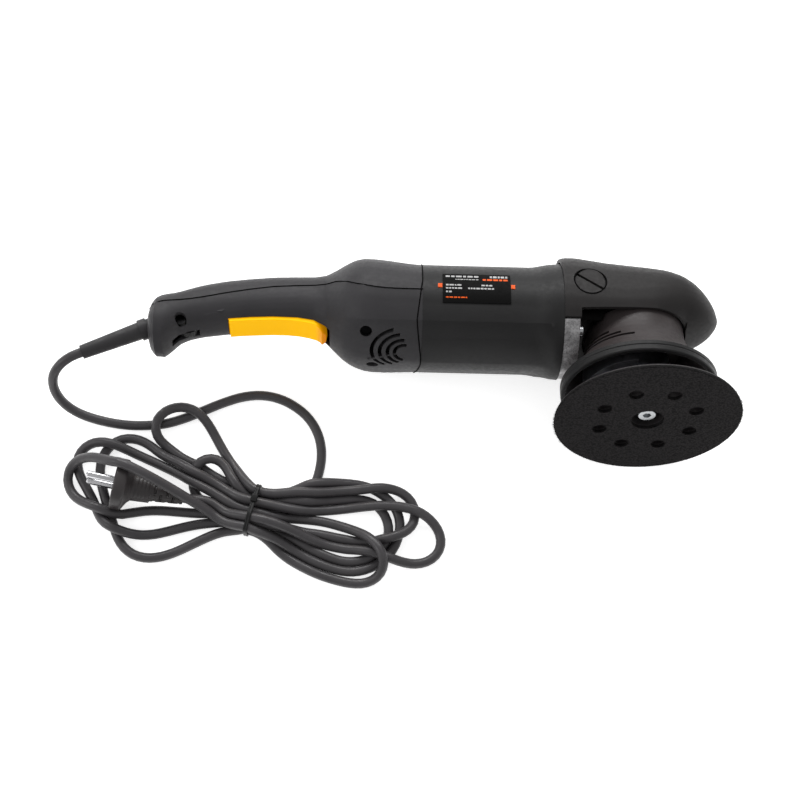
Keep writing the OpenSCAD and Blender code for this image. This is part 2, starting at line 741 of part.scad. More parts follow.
module backing_plate() {
    color([0.13, 0.12, 0.13]) on_pad_axis() difference() {
        rotate_extrude() polygon([
            [4.1, -69], [4.1, hub_top_z], [22, hub_top_z], [24, -64], [25.5, -67], [30, -68.8],
            [56, -74], [plate_r - 1, -75.2], [plate_r - 0.6, plate_floor_z], [11, plate_floor_z],
            [11, -69]]);
        dust_holes(-90, -50, hole_d / 2);
        for (i = [0 : 7]) rotate(45 * i) translate([plate_screw_r, 0, 0]) along_z(-74.2, -60, 1.8 + fine);
    }
}
module plate_screws() {
    color("dimgray") on_pad_axis() for (i = [0 : 7]) rotate(45 * i) translate([plate_screw_r, 0, 0])
        difference() {
            along_z(-74.2, -71.6, 1.8);
            translate([-2, -0.3, -72.2]) cube([4, 0.6, 2]);
        }
}
module pad_foam() {
    color([0.1, 0.1, 0.1]) on_pad_axis() difference() {
        ring_z(foam_floor_z, plate_floor_z, plate_r - 0.3, 11);
        dust_holes(-90, -50, hole_d / 2);
    }
}
module loop_face() {
    color([0.06, 0.06, 0.06]) on_pad_axis() difference() {
        ring_z(face_z, foam_floor_z, plate_r, 11);
        dust_holes(-90, -50, hole_d / 2);
    }
}
module plate_washer() {
    color("silver") on_pad_axis() ring_z(-70.4, -69, 9, 4.1);
}
module plate_bolt() {
    color("silver") on_pad_axis() difference() {
        union() {
            along_z(-75.4, -70.4, 5.8);
            along_z(-70.4, -50, 4);
        }
        translate([0, 0, -76]) cylinder(h = 3.6, r = 2.9, $fn = 6);
    }
}

// ---------------------------------------------------------------- cord, drawn where it lies on the floor
cord_r = cord_d / 2;
// Points that the free stretch passes through, from the guard's tip to the hank
route = [
    [-221.6, -8.6, 44.8], [-229.2, -12, 44.2], [-236.4, -16.4, 40.6], [-241.6, -21.4, 34],
    [-243, -26.6, 25.4], [-240.8, -31.6, 16.8], [-235.2, -36.2, 9.8], [-227, -40, 5.4], [-217, -43, 3.6],
    [-204.5, -45.8, 3.6], [-192, -47.2, 3.6], [-179, -47, 3.6], [-166, -45.2, 3.6], [-153.5, -41, 3.6],
    [-141, -35.3, 3.6], [-128, -29.3, 3.6], [-114.5, -24.5, 3.6], [-101, -22.8, 3.6], [-88, -25, 3.6],
    [-76.5, -30.6, 3.6], [-67, -38.6, 3.6], [-60.3, -49, 3.6], [-57, -61, 3.6], [-57, -72.5, 3.6],
    [-59.5, -83, 3.6], [-62, -91, 3.6]];
steps = 3;
function smooth(p0, p1, p2, p3, t) = 0.5 * (2 * p1 + (p2 - p0) * t
    + (2 * p0 - 5 * p1 + 4 * p2 - p3) * t * t + (3 * p1 - p0 - 3 * p2 + p3) * t * t * t);
function path_point(pts, i, t) = smooth(
    pts[max(i - 1, 0)], pts[i], pts[i + 1], pts[min(i + 2, len(pts) - 1)], t);
function path(pts) = concat(
    [for (i = [0 : len(pts) - 2]) for (k = [0 : steps - 1]) path_point(pts, i, k / steps)],
    [pts[len(pts) - 1]]);
function unit(v) = v / norm(v);
function heading(pts, i) = unit(pts[min(i + 1, len(pts) - 1)] - pts[max(i - 1, 0)]);
function cord_ring(p, dir, r, sides) =
    let (side = unit(cross([0, 0, 1], dir)), rise = cross(dir, side))
    [for (k = [0 : sides - 1]) p + r * (cos(360 * k / sides) * side + sin(360 * k / sides) * rise)];
module cord_lead() {
    line = path(route);
    color([0.2, 0.19, 0.2])
        skin([for (i = [0 : len(line) - 1]) cord_ring(line[i], heading(line, i), cord_r, 10)]);
}
// Outline of the folded bundle as it lies: loops to the left, a waist under the tie, loops to the right
hank_outline = [
    [-229, -87], [-230, -70], [-222, -60], [-208, -55], [-192, -53.5], [-176, -57], [-155, -69],
    [-133, -79], [-108, -88.5], [-97, -91], [-75, -92], [-61, -89], [-38, -86], [-8, -86], [11, -95],
    [25, -112], [30, -126], [25, -138], [8, -142], [-9, -144], [-15, -152], [-28, -155], [-46, -151],
    [-73, -136], [-106, -123.5], [-124, -132], [-141, -139], [-161, -144], [-180, -141], [-195, -129],
    [-208, -116], [-221, -103]];
hank_h = 21;
tie_at = [-102.5, -107.4];
tie_turn = -13.6;
tie_span = 35;
tie_band = [3, 1.2];
plug_turn = 9;
plug_tilt = 10;
plug_at = [-193, -94, 18.3];
module place_tie() {
    translate(tie_at) rotate(tie_turn) children();
}
module place_plug() {
    translate(plug_at) rotate([0, 0, -plug_turn]) rotate([0, plug_tilt, 0]) rotate([0, -90, 0]) children();
}
module cord_hank() {
    color([0.2, 0.19, 0.2]) difference() {
        linear_extrude(height = hank_h) polygon(hank_outline);
        // room for the plug among the left-hand loops
        translate([plug_at[0], plug_at[1], -1]) rotate(-plug_turn) {
            translate([-26, -6, 0]) cube([30, 12, hank_h + 2]);
            translate([-9, -19, 0]) cube([18, 38, hank_h + 2]);
            translate([0, -11, 0]) cube([44.6, 22, hank_h + 2]);
        }
        // room for the tie where it passes underneath
        place_tie() {
            translate([-2, -20, -1]) cube([4, 40, 1 + tie_band[1]]);
            for (side = [-1, 1]) translate([-2, side * (tie_span / 2 + 4.9) - 5, -1]) cube([4, 10, 40]);
        }
    }
}
module cord_tie() {
    color([0.1, 0.1, 0.1]) place_tie() rotate([90, 0, 90])
        translate([0, 0, -tie_band[0] / 2]) linear_extrude(height = tie_band[0]) difference() {
            translate([-tie_span / 2 - tie_band[1], 0])
                square([tie_span + 2 * tie_band[1], hank_h + tie_band[1]]);
            translate([-tie_span / 2, tie_band[1]]) square([tie_span, hank_h - tie_band[1]]);
        }
}
module plug_body() {
    color([0.15, 0.14, 0.15]) place_plug() {
        translate([0, 0, -4]) cylinder(h = 8, r = 17.6);
        translate([0, 0, -7]) cylinder(h = 3, r1 = 13, r2 = 17.6);
        translate([0, 0, -22]) cylinder(h = 15, r = 9.5);
        translate([0, 0, -44]) cylinder(h = 22, r1 = 5, r2 = 7.4);
    }
}
module plug_pins() {
    color("gainsboro") place_plug() for (side = [-9.5, 9.5]) translate([side, 0, 4]) {
        cylinder(h = 18, r = 2.4);
        translate([0, 0, 18]) cylinder(h = 1, r1 = 2.4, r2 = 1.4);
    }
}

lay_down() upper_handle_shell();
lay_down() lower_handle_shell();
lay_down() handle_screws();
lay_down() cord_guard();
lay_down() cord_clamp();
lay_down() speed_controller();
lay_down() speed_dial();
lay_down() switch_body();
lay_down() switch_plunger();
lay_down() trigger();
lay_down() trigger_pin();
lay_down() trigger_spring();
lay_down() lock_button();
lay_down() suppression_capacitor();
lay_down() motor_housing();
lay_down() label_plate();
lay_down() label_tabs();
lay_down() stator_core();
lay_down() field_windings();
lay_down() bearing_bridge();
lay_down() brush_holders();
lay_down() brushes();
lay_down() rear_bearing();
lay_down() armature_shaft();
lay_down() armature_core();
lay_down() armature_windings();
lay_down() commutator();
lay_down() fan();
lay_down() fan_baffle();
lay_down() pinion();
lay_down() gear_case();
lay_down() gear_case_screws();
lay_down() front_bearing();
lay_down() head_cover();
lay_down() side_handle_caps();
lay_down() upper_spindle_bearing();
lay_down() crown_gear();
lay_down() spindle();
lay_down() bearing_box();
lay_down() lower_spindle_bearing();
lay_down() bearing_retainer();
lay_down() skirt();
lay_down() skirt_ring();
lay_down() skirt_screws();
lay_down() eccentric_carrier();
lay_down() eccentric_weight();
lay_down() weight_screws();
lay_down() pad_bearings();
lay_down() pad_spindle();
lay_down() backing_plate();
lay_down() plate_screws();
lay_down() pad_foam();
lay_down() loop_face();
lay_down() plate_washer();
lay_down() plate_bolt();
cord_lead();
cord_hank();
cord_tie();
plug_body();
plug_pins();
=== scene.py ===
import json
import math
import random

import bmesh
import bpy
import numpy as np
from mathutils import Matrix, Vector
from mathutils.bvhtree import BVHTree


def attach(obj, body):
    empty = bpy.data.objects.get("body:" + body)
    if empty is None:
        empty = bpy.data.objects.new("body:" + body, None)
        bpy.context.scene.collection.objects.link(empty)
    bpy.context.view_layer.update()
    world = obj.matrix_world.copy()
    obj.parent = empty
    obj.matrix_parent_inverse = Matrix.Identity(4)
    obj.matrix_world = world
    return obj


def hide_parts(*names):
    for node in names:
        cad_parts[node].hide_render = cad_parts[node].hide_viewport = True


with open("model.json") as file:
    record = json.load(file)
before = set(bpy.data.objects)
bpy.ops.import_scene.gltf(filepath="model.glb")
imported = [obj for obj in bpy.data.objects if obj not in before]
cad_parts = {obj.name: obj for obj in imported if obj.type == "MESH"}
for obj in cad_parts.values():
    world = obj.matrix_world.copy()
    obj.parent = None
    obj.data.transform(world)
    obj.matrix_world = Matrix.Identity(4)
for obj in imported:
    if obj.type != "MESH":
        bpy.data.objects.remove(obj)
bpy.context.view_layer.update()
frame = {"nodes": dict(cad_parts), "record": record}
scene = bpy.context.scene
MM = 0.001

# The object lies on its side: the motor axis runs along X, rolled by this angle about it.
ROLL = math.radians(14)
AXIS_AT = (158.3, 23.3, 42.0)


def lay(x, y, z):
    """A point of the upright tool, in mm, as it lies on the floor, in metres."""
    s, c = math.sin(ROLL), math.cos(ROLL)
    return Vector((x + AXIS_AT[0], AXIS_AT[1] - s * y + c * z, AXIS_AT[2] - c * y - s * z)) * MM


# ---------------------------------------------------------------- camera
CAM_AT = Vector((-0.0246, -0.3503, 0.9672))
CAM_RIGHT = Vector((0.999485, 0.015072, 0.028320))
CAM_UP = Vector((-0.023359, 0.946992, 0.320408))
CAM_BACK = Vector((-0.021989, -0.320905, 0.946857))
CAM_LENS = 64.37
cam = bpy.data.objects.new("camera", bpy.data.cameras.new("camera"))
scene.collection.objects.link(cam)
turn = Matrix((CAM_RIGHT, CAM_UP, CAM_BACK)).transposed().to_4x4()
cam.matrix_world = Matrix.Translation(CAM_AT) @ turn
cam.data.lens = CAM_LENS
cam.data.sensor_width = 36
cam.data.clip_start = 0.01
cam.data.clip_end = 20
scene.camera = cam

# ---------------------------------------------------------------- cord: its plan, in mm
CORD_D = 6.8
TIE = (-102.5, -107.4)
TIE_DIR = (0.972, -0.235)      # the way the passes run through the tie
TIE_ACROSS = (0.235, 0.972)
TIE_SPAN = 35.0
TIE_TOP = 20.6
LEAD_HELD = 250                # length of the lead that stays as planned
ROUNDS, ROUNDS_QUICK = 600, 160
PLUG_AT = np.array([-193, -94, 18.3])
PLUG_TURN, PLUG_TILT = 9, 10
BOOT_END = 44.0                # from the plug's middle to where the cable leaves its boot
PLUG_ROOM = [17.8, 9.7, 7.2, 12.0]   # radii that the cord keeps clear of: body, neck, boot, face
LEAD = [
    (-221.6, -8.6, 44.8), (-229.2, -12, 44.2), (-236.4, -16.4, 40.6), (-241.6, -21.4, 34), (-243, -26.6, 25.4),
    (-240.8, -31.6, 16.8), (-235.2, -36.2, 9.8), (-227, -40, 5.4), (-217, -43, 3.6), (-204.5, -45.8, 3.6),
    (-192, -47.2, 3.6), (-179, -47, 3.6), (-166, -45.2, 3.6), (-153.5, -41, 3.6), (-141, -35.3, 3.6),
    (-128, -29.3, 3.6), (-114.5, -24.5, 3.6), (-101, -22.8, 3.6), (-88, -25, 3.6), (-76.5, -30.6, 3.6),
    (-67, -38.6, 3.6), (-60.3, -49, 3.6), (-57, -61, 3.6), (-57, -72.5, 3.6), (-59.5, -83, 3.6),
    (-62, -91, 3.6)]


def slot(u, z, left):
    """A pass through the tie: u across it, z its height, walked to the left or to the right."""
    s = -1 if left else 1
    return [(TIE[0] + u * TIE_ACROSS[0] + k * s * TIE_DIR[0],
             TIE[1] + u * TIE_ACROSS[1] + k * s * TIE_DIR[1], z) for k in (-13, 0, 13)]


L, R = True, False
WALK = (
    [(-66, -100, 3.6), (-75, -107, 3.6)] + slot(3, 3.6, L) +
    [(-130, -105, 3.6), (-141, -99, 3.6), (-145, -88, 6), (-141, -77, 9.5), (-130, -71, 10.4), (-118, -80, 10)] +
    slot(10.5, 9.5, R) +
    [(-68, -99, 10), (-50, -96, 9), (-34, -96, 5), (-20, -101, 4), (-11, -111, 3.6), (-9, -124, 3.6),
     (-17, -136, 3.6), (-31, -142, 3.6), (-46, -141, 6), (-60, -134, 8), (-76, -124, 9)] +
    slot(-7, 3.6, L) +
    [(-139, -110, 8), (-156, -109, 5), (-174, -108, 4), (-190, -108, 5), (-200, -108.5, 10.4), (-210, -107, 10.4),
     (-221, -103, 8), (-229, -96, 10), (-232, -87, 15), (-228, -79, 22), (-219, -76, 29), (-208, -78, 35),
     (-196, -83, 40), (-183, -87, 41), (-170, -92, 40), (-157, -98, 37), (-145, -104, 33), (-132, -110, 28)] +
    slot(-14, 15.4, R) +
    [(-78, -134, 13), (-65, -140, 11), (-52, -145, 9.5), (-40, -148, 8), (-28, -147, 8), (-18, -142, 8),
     (-8, -134, 5), (-2, -124, 4), (0, -114, 4), (-4, -103, 4), (-13, -94, 4), (-26, -88, 4),
     (-42, -87, 5), (-60, -90, 10.4), (-76, -94, 7)] +
    slot(14, 3.6, L) +
    [(-134, -83, 4), (-148, -77, 4), (-160, -70, 4), (-169, -62, 5), (-173, -52, 9), (-170, -42, 11),
     (-160, -35, 11), (-148, -36, 10.8), (-138, -44, 10.4), (-131, -56, 9), (-123, -69, 10)] +
    slot(14, 15.4, R) +
    [(-73, -99, 13), (-61, -98, 13), (-47, -96, 12), (-33, -93, 11), (-19, -91, 10), (-6, -91, 8),
     (5, -95, 6), (10, -105, 4), (7, -116, 4), (-2, -123, 10.4), (-15, -127, 10.4), (-32, -128, 10.4),
     (-50, -127, 10), (-70, -125, 10)] +
    slot(-10.5, 9.5, L) +
    [(-125, -115, 7), (-138, -117, 5), (-151, -120, 4), (-164, -124, 4), (-174, -126, 4), (-185, -126, 8),
     (-195, -123, 10.4), (-203, -117, 8), (-209, -109, 3.6), (-214, -99, 3.6), (-221, -88, 3.6), (-227, -77, 4),
     (-225, -67, 7), (-215, -62, 10), (-202, -63, 10.8), (-185, -69, 14), (-170, -75, 17), (-156, -81, 19),
     (-138, -89, 19)] +
    slot(0, 15.4, R) +
    [(-71, -111, 20), (-56, -113, 20), (-42, -117, 20), (-29, -122, 19), (-17, -131, 17), (-11, -142, 9),
     (-16, -153, 4), (-29, -157, 3.6), (-44, -153, 3.6), (-60, -146, 3.6), (-76, -137, 3.6)] +
    slot(-14, 3.6, L) +
    [(-129, -125, 4), (-142, -131, 4), (-154, -137, 4), (-166, -141, 4), (-179, -141, 4), (-190, -135, 4),
     (-196, -123, 3.6), (-200, -110, 3.6), (-205, -98, 3.6), (-209, -87, 3.6), (-210, -75, 3.6), (-206, -65, 4),
     (-197, -58, 8), (-184, -58, 11), (-171, -63, 12), (-158, -71, 13), (-148, -78, 15), (-135, -87, 16)] +
    slot(7, 15.4, R) +
    [(-61, -105, 14), (-47, -104, 12), (-33, -103, 11), (-18, -102, 11), (-4, -103, 11), (9, -106, 11),
     (20, -112, 6), (27, -121, 4), (27, -132, 4), (19, -140, 4), (8, -142, 5), (-3, -141, 9),
     (-12, -138, 11), (-22, -135, 11), (-36, -132, 11), (-50, -129, 12), (-66, -124, 13)] +
    slot(-7, 15.4, L) +
    [(-126, -107, 15)])


def plug_matrix():
    """From the plug's own frame, +z out of its face along the pins, to the row frame, in metres."""
    return (Matrix.Translation(Vector(PLUG_AT) * MM) @ Matrix.Rotation(math.radians(-PLUG_TURN), 4, "Z")
            @ Matrix.Rotation(math.radians(PLUG_TILT), 4, "Y") @ Matrix.Rotation(math.radians(-90), 4, "Y"))


PLUG_AXIS = np.array((plug_matrix().to_3x3() @ Vector((0, 0, 1)))[:])


def catmull(points, step=1.0):
    p, out = np.array(points, float), []
    for i in range(len(p) - 1):
        a, b, c, d = p[max(i - 1, 0)], p[i], p[i + 1], p[min(i + 2, len(p) - 1)]
        n = max(2, int(np.linalg.norm(c - b) / step))
        t = np.linspace(0, 1, n, endpoint=False)[:, None]
        out.append(0.5 * (2 * b + (c - a) * t + (2 * a - 5 * b + 4 * c - d) * t ** 2
                          + (-a + 3 * b - 3 * c + d) * t ** 3))
    return np.vstack(out + [p[-1:]])


def resample(line, step):
    run = np.r_[0, np.cumsum(np.linalg.norm(np.diff(line, axis=0), axis=1))]
    t = np.linspace(0, run[-1], int(round(run[-1] / step)) + 1)
    return np.stack([np.interp(t, run, line[:, k]) for k in range(3)], 1)


def settle(plan, rounds, step=4.0):
    """Lets the planned windings sink onto the floor and onto each other: each stretch is stiff,
    keeps its length, and pushes off its neighbours, the plug and the tie."""
    p = resample(plan, step)
    n, ref, r, gap = len(p), p.copy(), CORD_D / 2, CORD_D + 0.12
    i, j = np.triu_indices(n, int(np.ceil(3 * CORD_D / step)))
    close = np.hypot(*(ref[i, :2] - ref[j, :2]).T) < 32
    i, j = i[close], j[close]
    free = np.ones(n)
    free[:int(LEAD_HELD / step)] = 0
    free[-3:] = 0
    w = free[:, None]
    hold = np.where(ref[:, 2] > 26, 0.5, 0.03)[:, None]
    centre, along, across = np.array(TIE), np.array(TIE_DIR), np.array(TIE_ACROSS)
    lap, lap2 = np.zeros_like(p), np.zeros_like(p)
    for k in range(rounds):
        p[:, :2] += w * hold * (ref[:, :2] - p[:, :2])
        p[:, 2] -= free * (0.2 if k < 0.85 * rounds else 0.05)
        for _ in range(9):
            lap[1:-1] = (p[:-2] + p[2:]) / 2 - p[1:-1]
            lap2[2:-2] = lap[2:-2] - (lap[1:-3] + lap[3:-1]) / 2
            p += w * 0.24 * lap2
        p += w * 0.02 * lap
        for _ in range(3):
            v = p[i] - p[j]
            dist = np.linalg.norm(v, axis=1)
            hit = dist < gap
            a, b, v, dist = i[hit], j[hit], v[hit], dist[hit]
            order = ref[a, 2] - ref[b, 2]
            v[:, 2] = np.where(np.abs(order) > 2.5, np.sign(order) * np.maximum(np.abs(v[:, 2]), 1.5), v[:, 2])
            push = 0.225 * (gap - dist)[:, None] * v / np.linalg.norm(v, axis=1)[:, None]
            total, count = np.zeros_like(p), np.zeros(n)
            np.add.at(total, a, push)
            np.add.at(total, b, -push)
            np.add.at(count, a, 1)
            np.add.at(count, b, 1)
            p += w * total / np.sqrt(np.maximum(1, count))[:, None]
            q = p - PLUG_AT
            t = q @ PLUG_AXIS
            out = q - t[:, None] * PLUG_AXIS
            far = np.linalg.norm(out, axis=1) + 1e-9
            keep = np.select([(t > -8.5) & (t < 5.5), (t <= -8.5) & (t > -23), (t <= -23) & (t > -44),
                              (t >= 5.5) & (t < 7.5)], PLUG_ROOM, -10) + r
            inside = (far < keep) & (np.arange(n) < n - 8)
            p += (free * inside * (keep - far) / far * 0.6)[:, None] * out
            q = p[:, :2] - centre
            at_tie = (np.abs(q @ along) < 5) & (np.abs(q @ across) < 30) & (free > 0)
            over = np.clip(np.abs(q @ across) - (TIE_SPAN / 2 - r - 0.1), 0, None) * np.sign(q @ across)
            p[:, :2] -= (over * at_tie)[:, None] * across
            p[:, 2] = np.where(at_tie, np.minimum(p[:, 2], TIE_TOP - r), p[:, 2])
            low = np.where(at_tie, 1.2 + r, r + 0.05)
            p[:, 2] = np.where(free > 0, np.maximum(p[:, 2], low), p[:, 2])
        for _ in range(4):
            for start in (0, 1):
                a = np.arange(start, n - 1, 2)
                v = p[a + 1] - p[a]
                dist = np.linalg.norm(v, axis=1)
                share = np.maximum(free[a] + free[a + 1], 1e-9)
                fix = ((dist - step) / dist * 0.8)[:, None] * v
                p[a] += fix * (free[a] / share)[:, None]
                p[a + 1] -= fix * (free[a + 1] / share)[:, None]
    return p


boot_end = PLUG_AT - BOOT_END * PLUG_AXIS
tail = [tuple(boot_end + PLUG_AXIS * k) for k in (-22, -12, -2, 6)]
cord_line = settle(catmull(LEAD + WALK + tail), ROUNDS)


# ---------------------------------------------------------------- mesh helpers
def new_mesh(name, verts, faces, smooth=True):
    mesh = bpy.data.meshes.new(name)
    mesh.from_pydata([tuple(v) for v in verts], [], faces)
    mesh.update()
    for f in mesh.polygons:
        f.use_smooth = smooth
    obj = bpy.data.objects.new(name, mesh)
    scene.collection.objects.link(obj)
    return obj


def grid(rows, cols):
    """Faces of a rows x cols lattice of points, closed round its columns."""
    return [(a * cols + b, a * cols + (b + 1) % cols, (a + 1) * cols + (b + 1) % cols, (a + 1) * cols + b)
            for a in range(rows - 1) for b in range(cols)]


def ring_faces(rows, cols):
    """The faces that join the last row of such a lattice to its first."""
    last = (rows - 1) * cols
    return [(last + b, last + (b + 1) % cols, (b + 1) % cols, b) for b in range(cols)]


# ---------------------------------------------------------------- materials
def linear(c):
    return tuple((v / 12.92 if v <= 0.04045 else ((v + 0.055) / 1.055) ** 2.4) for v in c)


class Look:
    """One procedural material: colour that drifts, grain in the bump, uneven roughness, edges that
    catch the light as moulded or machined ones do."""

    def __init__(self, name, grey, rough, metallic=0.0, specular=0.5):
        self.mat = bpy.data.materials.new(name)
        self.mat.use_nodes = True
        self.tree = self.mat.node_tree
        self.tree.nodes.clear()
        self.out = self.add("ShaderNodeOutputMaterial")
        self.shader = self.add("ShaderNodeBsdfPrincipled")
        self.tree.links.new(self.shader.outputs[0], self.out.inputs["Surface"])
        self.coords = self.add("ShaderNodeTexCoord")
        self.place = self.coords.outputs["Object"]
        self.base = linear(grey)
        self.shader.inputs["Base Color"].default_value = (*self.base, 1)
        self.shader.inputs["Roughness"].default_value = rough
        self.shader.inputs["Metallic"].default_value = metallic
        self.shader.inputs["Specular IOR Level"].default_value = specular
        self.rough = rough
        self.colour = None
        self.normal = None
        self.mat.diffuse_color = (*self.base, 1)

    def add(self, kind, **values):
        node = self.tree.nodes.new(kind)
        for key, value in values.items():
            setattr(node, key, value)
        return node

    def link(self, a, b):
        self.tree.links.new(a, b)

    def turned(self, angles):
        """Coordinates turned so that a pattern follows the piece."""
        node = self.add("ShaderNodeMapping")
        node.inputs["Rotation"].default_value = angles
        self.link(self.coords.outputs["Object"], node.inputs["Vector"])
        self.place = node.outputs[0]
        return self

    def noise(self, scale, detail=4, roughness=0.55, stretch=None):
        node = self.add("ShaderNodeTexNoise")
        node.inputs["Scale"].default_value = scale
        node.inputs["Detail"].default_value = detail
        node.inputs["Roughness"].default_value = roughness
        place = self.place
        if stretch:
            m = self.add("ShaderNodeMapping")
            m.inputs["Scale"].default_value = stretch
            self.link(place, m.inputs["Vector"])
            place = m.outputs[0]
        self.link(place, node.inputs["Vector"])
        return node.outputs["Fac"]

    def voronoi(self, scale):
        node = self.add("ShaderNodeTexVoronoi", feature="F1")
        node.inputs["Scale"].default_value = scale
        self.link(self.place, node.inputs["Vector"])
        return node.outputs["Distance"]

    def bands(self, scale, distort):
        """Bands across X."""
        node = self.add("ShaderNodeTexWave", wave_type="BANDS", wave_profile="SIN", bands_direction="X")
        node.inputs["Scale"].default_value = scale
        node.inputs["Distortion"].default_value = distort
        self.link(self.place, node.inputs["Vector"])
        return node.outputs["Fac"]

    def math(self, kind, a, b):
        node = self.add("ShaderNodeMath", operation=kind)
        for k, v in enumerate((a, b)):
            if isinstance(v, (int, float)):
                node.inputs[k].default_value = v
            else:
                self.link(v, node.inputs[k])
        return node.outputs[0]

    def span(self, value, low, high, to_low, to_high):
        node = self.add("ShaderNodeMapRange")
        for key, v in zip(("From Min", "From Max", "To Min", "To Max"), (low, high, to_low, to_high)):
            node.inputs[key].default_value = v
        self.link(value, node.inputs["Value"])
        return node.outputs[0]

    def drift(self, factor, darker, lighter):
        """Base colour between two multiples of the piece's colour."""
        ramp = self.add("ShaderNodeValToRGB")
        ramp.color_ramp.elements[0].position = 0.3
        ramp.color_ramp.elements[1].position = 0.7
        ramp.color_ramp.elements[0].color = (*(min(1, c * darker) for c in self.base), 1)
        ramp.color_ramp.elements[1].color = (*(min(1, c * lighter) for c in self.base), 1)
        self.link(factor, ramp.inputs[0])
        self.colour = ramp.outputs[0]
        return self

    def tint(self, factor, grey):
        """Mixes another colour over the base where factor is high."""
        mix = self.add("ShaderNodeMix", data_type="RGBA")
        self.link(factor, mix.inputs["Factor"])
        self.link(self.colour, mix.inputs["A"])
        mix.inputs["B"].default_value = (*linear(grey), 1)
        self.colour = mix.outputs["Result"]
        return self

    def edges(self, radius, gain=1.0):
        """Softened edges, and a mask of where they are."""
        bevel = self.add("ShaderNodeBevel", samples=6)
        bevel.inputs["Radius"].default_value = radius
        self.normal = bevel.outputs[0]
        flat = self.add("ShaderNodeNewGeometry")
        dot = self.add("ShaderNodeVectorMath", operation="DOT_PRODUCT")
        self.link(bevel.outputs[0], dot.inputs[0])
        self.link(flat.outputs["Normal"], dot.inputs[1])
        return self.span(dot.outputs["Value"], 0.985, 0.8, 0.0, gain)

    def bump(self, height, strength, distance):
        node = self.add("ShaderNodeBump")
        node.inputs["Strength"].default_value = strength
        node.inputs["Distance"].default_value = distance
        self.link(height, node.inputs["Height"])
        if self.normal is not None:
            self.link(self.normal, node.inputs["Normal"])
        self.normal = node.outputs[0]
        return self

    def done(self, rough_by=None, spread=0.1):
        if rough_by is not None:
            low, high = max(0.02, self.rough - spread), min(1, self.rough + spread)
            self.link(self.span(rough_by, 0.3, 0.7, low, high), self.shader.inputs["Roughness"])
        if self.colour is not None:
            self.link(self.colour, self.shader.inputs["Base Color"])
        if self.normal is not None:
            self.link(self.normal, self.shader.inputs["Normal"])
        return self.mat


def moulded(name, grey, rough, grain=1500, depth=0.00004, wear=0.25, edge=0.0005, specular=0.45):
    """Injection-moulded plastic with a spark-eroded grain."""
    look = Look(name, grey, rough, specular=specular)
    broad = look.noise(22, 5)
    look.drift(broad, 0.86, 1.14)
    worn = look.math("MULTIPLY", look.edges(edge, wear), look.noise(300, 3))
    look.tint(worn, tuple(min(1, c + 0.22) for c in grey))
    look.bump(look.noise(grain, 3, 0.6), 0.55, depth)
    look.bump(look.noise(140, 2), 0.12, 0.0002)
    return look.done(look.noise(380, 4), 0.08)


def metal(name, grey, rough, grain=900, depth=0.00003, stretch=None, wear=0.3):
    """Machined or rolled metal, with brighter edges; stretch draws its grain out along an axis."""
    look = Look(name, grey, rough, metallic=1.0)
    broad = look.noise(60, 5)
    look.drift(broad, 0.8, 1.12)
    bright = look.math("MULTIPLY", look.edges(0.0003, wear), look.noise(500, 3))
    look.tint(bright, tuple(min(1, c + 0.2) for c in grey))
    look.bump(look.noise(grain, 4, 0.6, stretch), 0.5, depth)
    return look.done(look.noise(220, 5, stretch=stretch), 0.12)


FLANGE_FACE_X = -42.0


def cast(name, grey):
    """Grainy cast metal, bright on the flange that shows; behind the flange face it is painted near black, a
    painted shade for the well that lies in shadow there.
    """
    look = Look(name, grey, 0.5, metallic=1.0, specular=0.4)
    look.drift(look.noise(90, 5), 0.5, 1.25)
    look.tint(look.math("MULTIPLY", look.edges(0.0006, 0.9), look.noise(500, 3)), (0.9, 0.9, 0.9))
    look.tint(look.span(look.noise(900, 3, 0.75), 0.46, 0.62, 0, 0.5), (0.3, 0.295, 0.3))
    split = look.add("ShaderNodeSeparateXYZ")
    look.link(look.coords.outputs["Object"], split.inputs[0])
    painted_shade_x = (AXIS_AT[0] + FLANGE_FACE_X + 0.6) * MM
    # painted shade: past the flange face the metal is tinted near black for the shadowed well
    look.tint(look.span(split.outputs["X"], painted_shade_x, painted_shade_x + 0.0008, 0, 1), (0.07, 0.068, 0.068))
    look.bump(look.noise(900, 4, 0.6), 0.5, 0.00012)
    return look.done(look.noise(220, 5), 0.12)


def laminated(name, grey, rough, pitch, depth=0.00008, metallic=1.0):
    """Stacked sheets or wound wire: fine bands across the motor's axis."""
    look = Look(name, grey, rough, metallic=metallic)
    look.drift(look.noise(90, 5), 0.75, 1.2)
    look.bump(look.bands(1 / (20 * pitch), 0.6), 0.8, depth)
    return look.done(look.noise(300, 3), 0.1)


def pile(name, grey):
    """The hook-and-loop face: a fine knitted ground with a short dense pile."""
    look = Look(name, grey, 0.85, specular=0.12).turned((-ROLL, 0, 0))
    knit = look.voronoi(760)
    look.drift(look.noise(40, 5), 0.75, 1.4)
    look.tint(look.span(knit, 0.3, 0.75, 0.42, 0.0), (0.19, 0.178, 0.182))
    look.tint(look.span(look.noise(1400, 3), 0.68, 0.8, 0, 0.5), (0.28, 0.27, 0.27))
    look.bump(knit, 0.8, 0.0003)
    return look.done(look.noise(500, 3), 0.05)


def foam(name, grey):
    """Open foam: matt, with small cells in the bump."""
    look = Look(name, grey, 0.9, specular=0.25)
    look.drift(look.noise(150, 4), 0.7, 1.25)
    look.bump(look.voronoi(1600), 1.0, 0.0004)
    return look.done(look.noise(700, 3), 0.06)


def sheath(name, grey, rough=0.42):
    """Extruded rubber: a fine grain in the bump, dust and rubbed spots."""
    look = Look(name, grey, rough, specular=0.38)
    look.drift(look.noise(35, 5), 0.82, 1.2)
    look.tint(look.span(look.noise(420, 6, 0.7), 0.62, 0.8, 0, 0.2), (0.3, 0.29, 0.29))
    look.bump(look.noise(900, 4), 0.35, 0.00005)
    return look.done(look.noise(160, 5), 0.12)


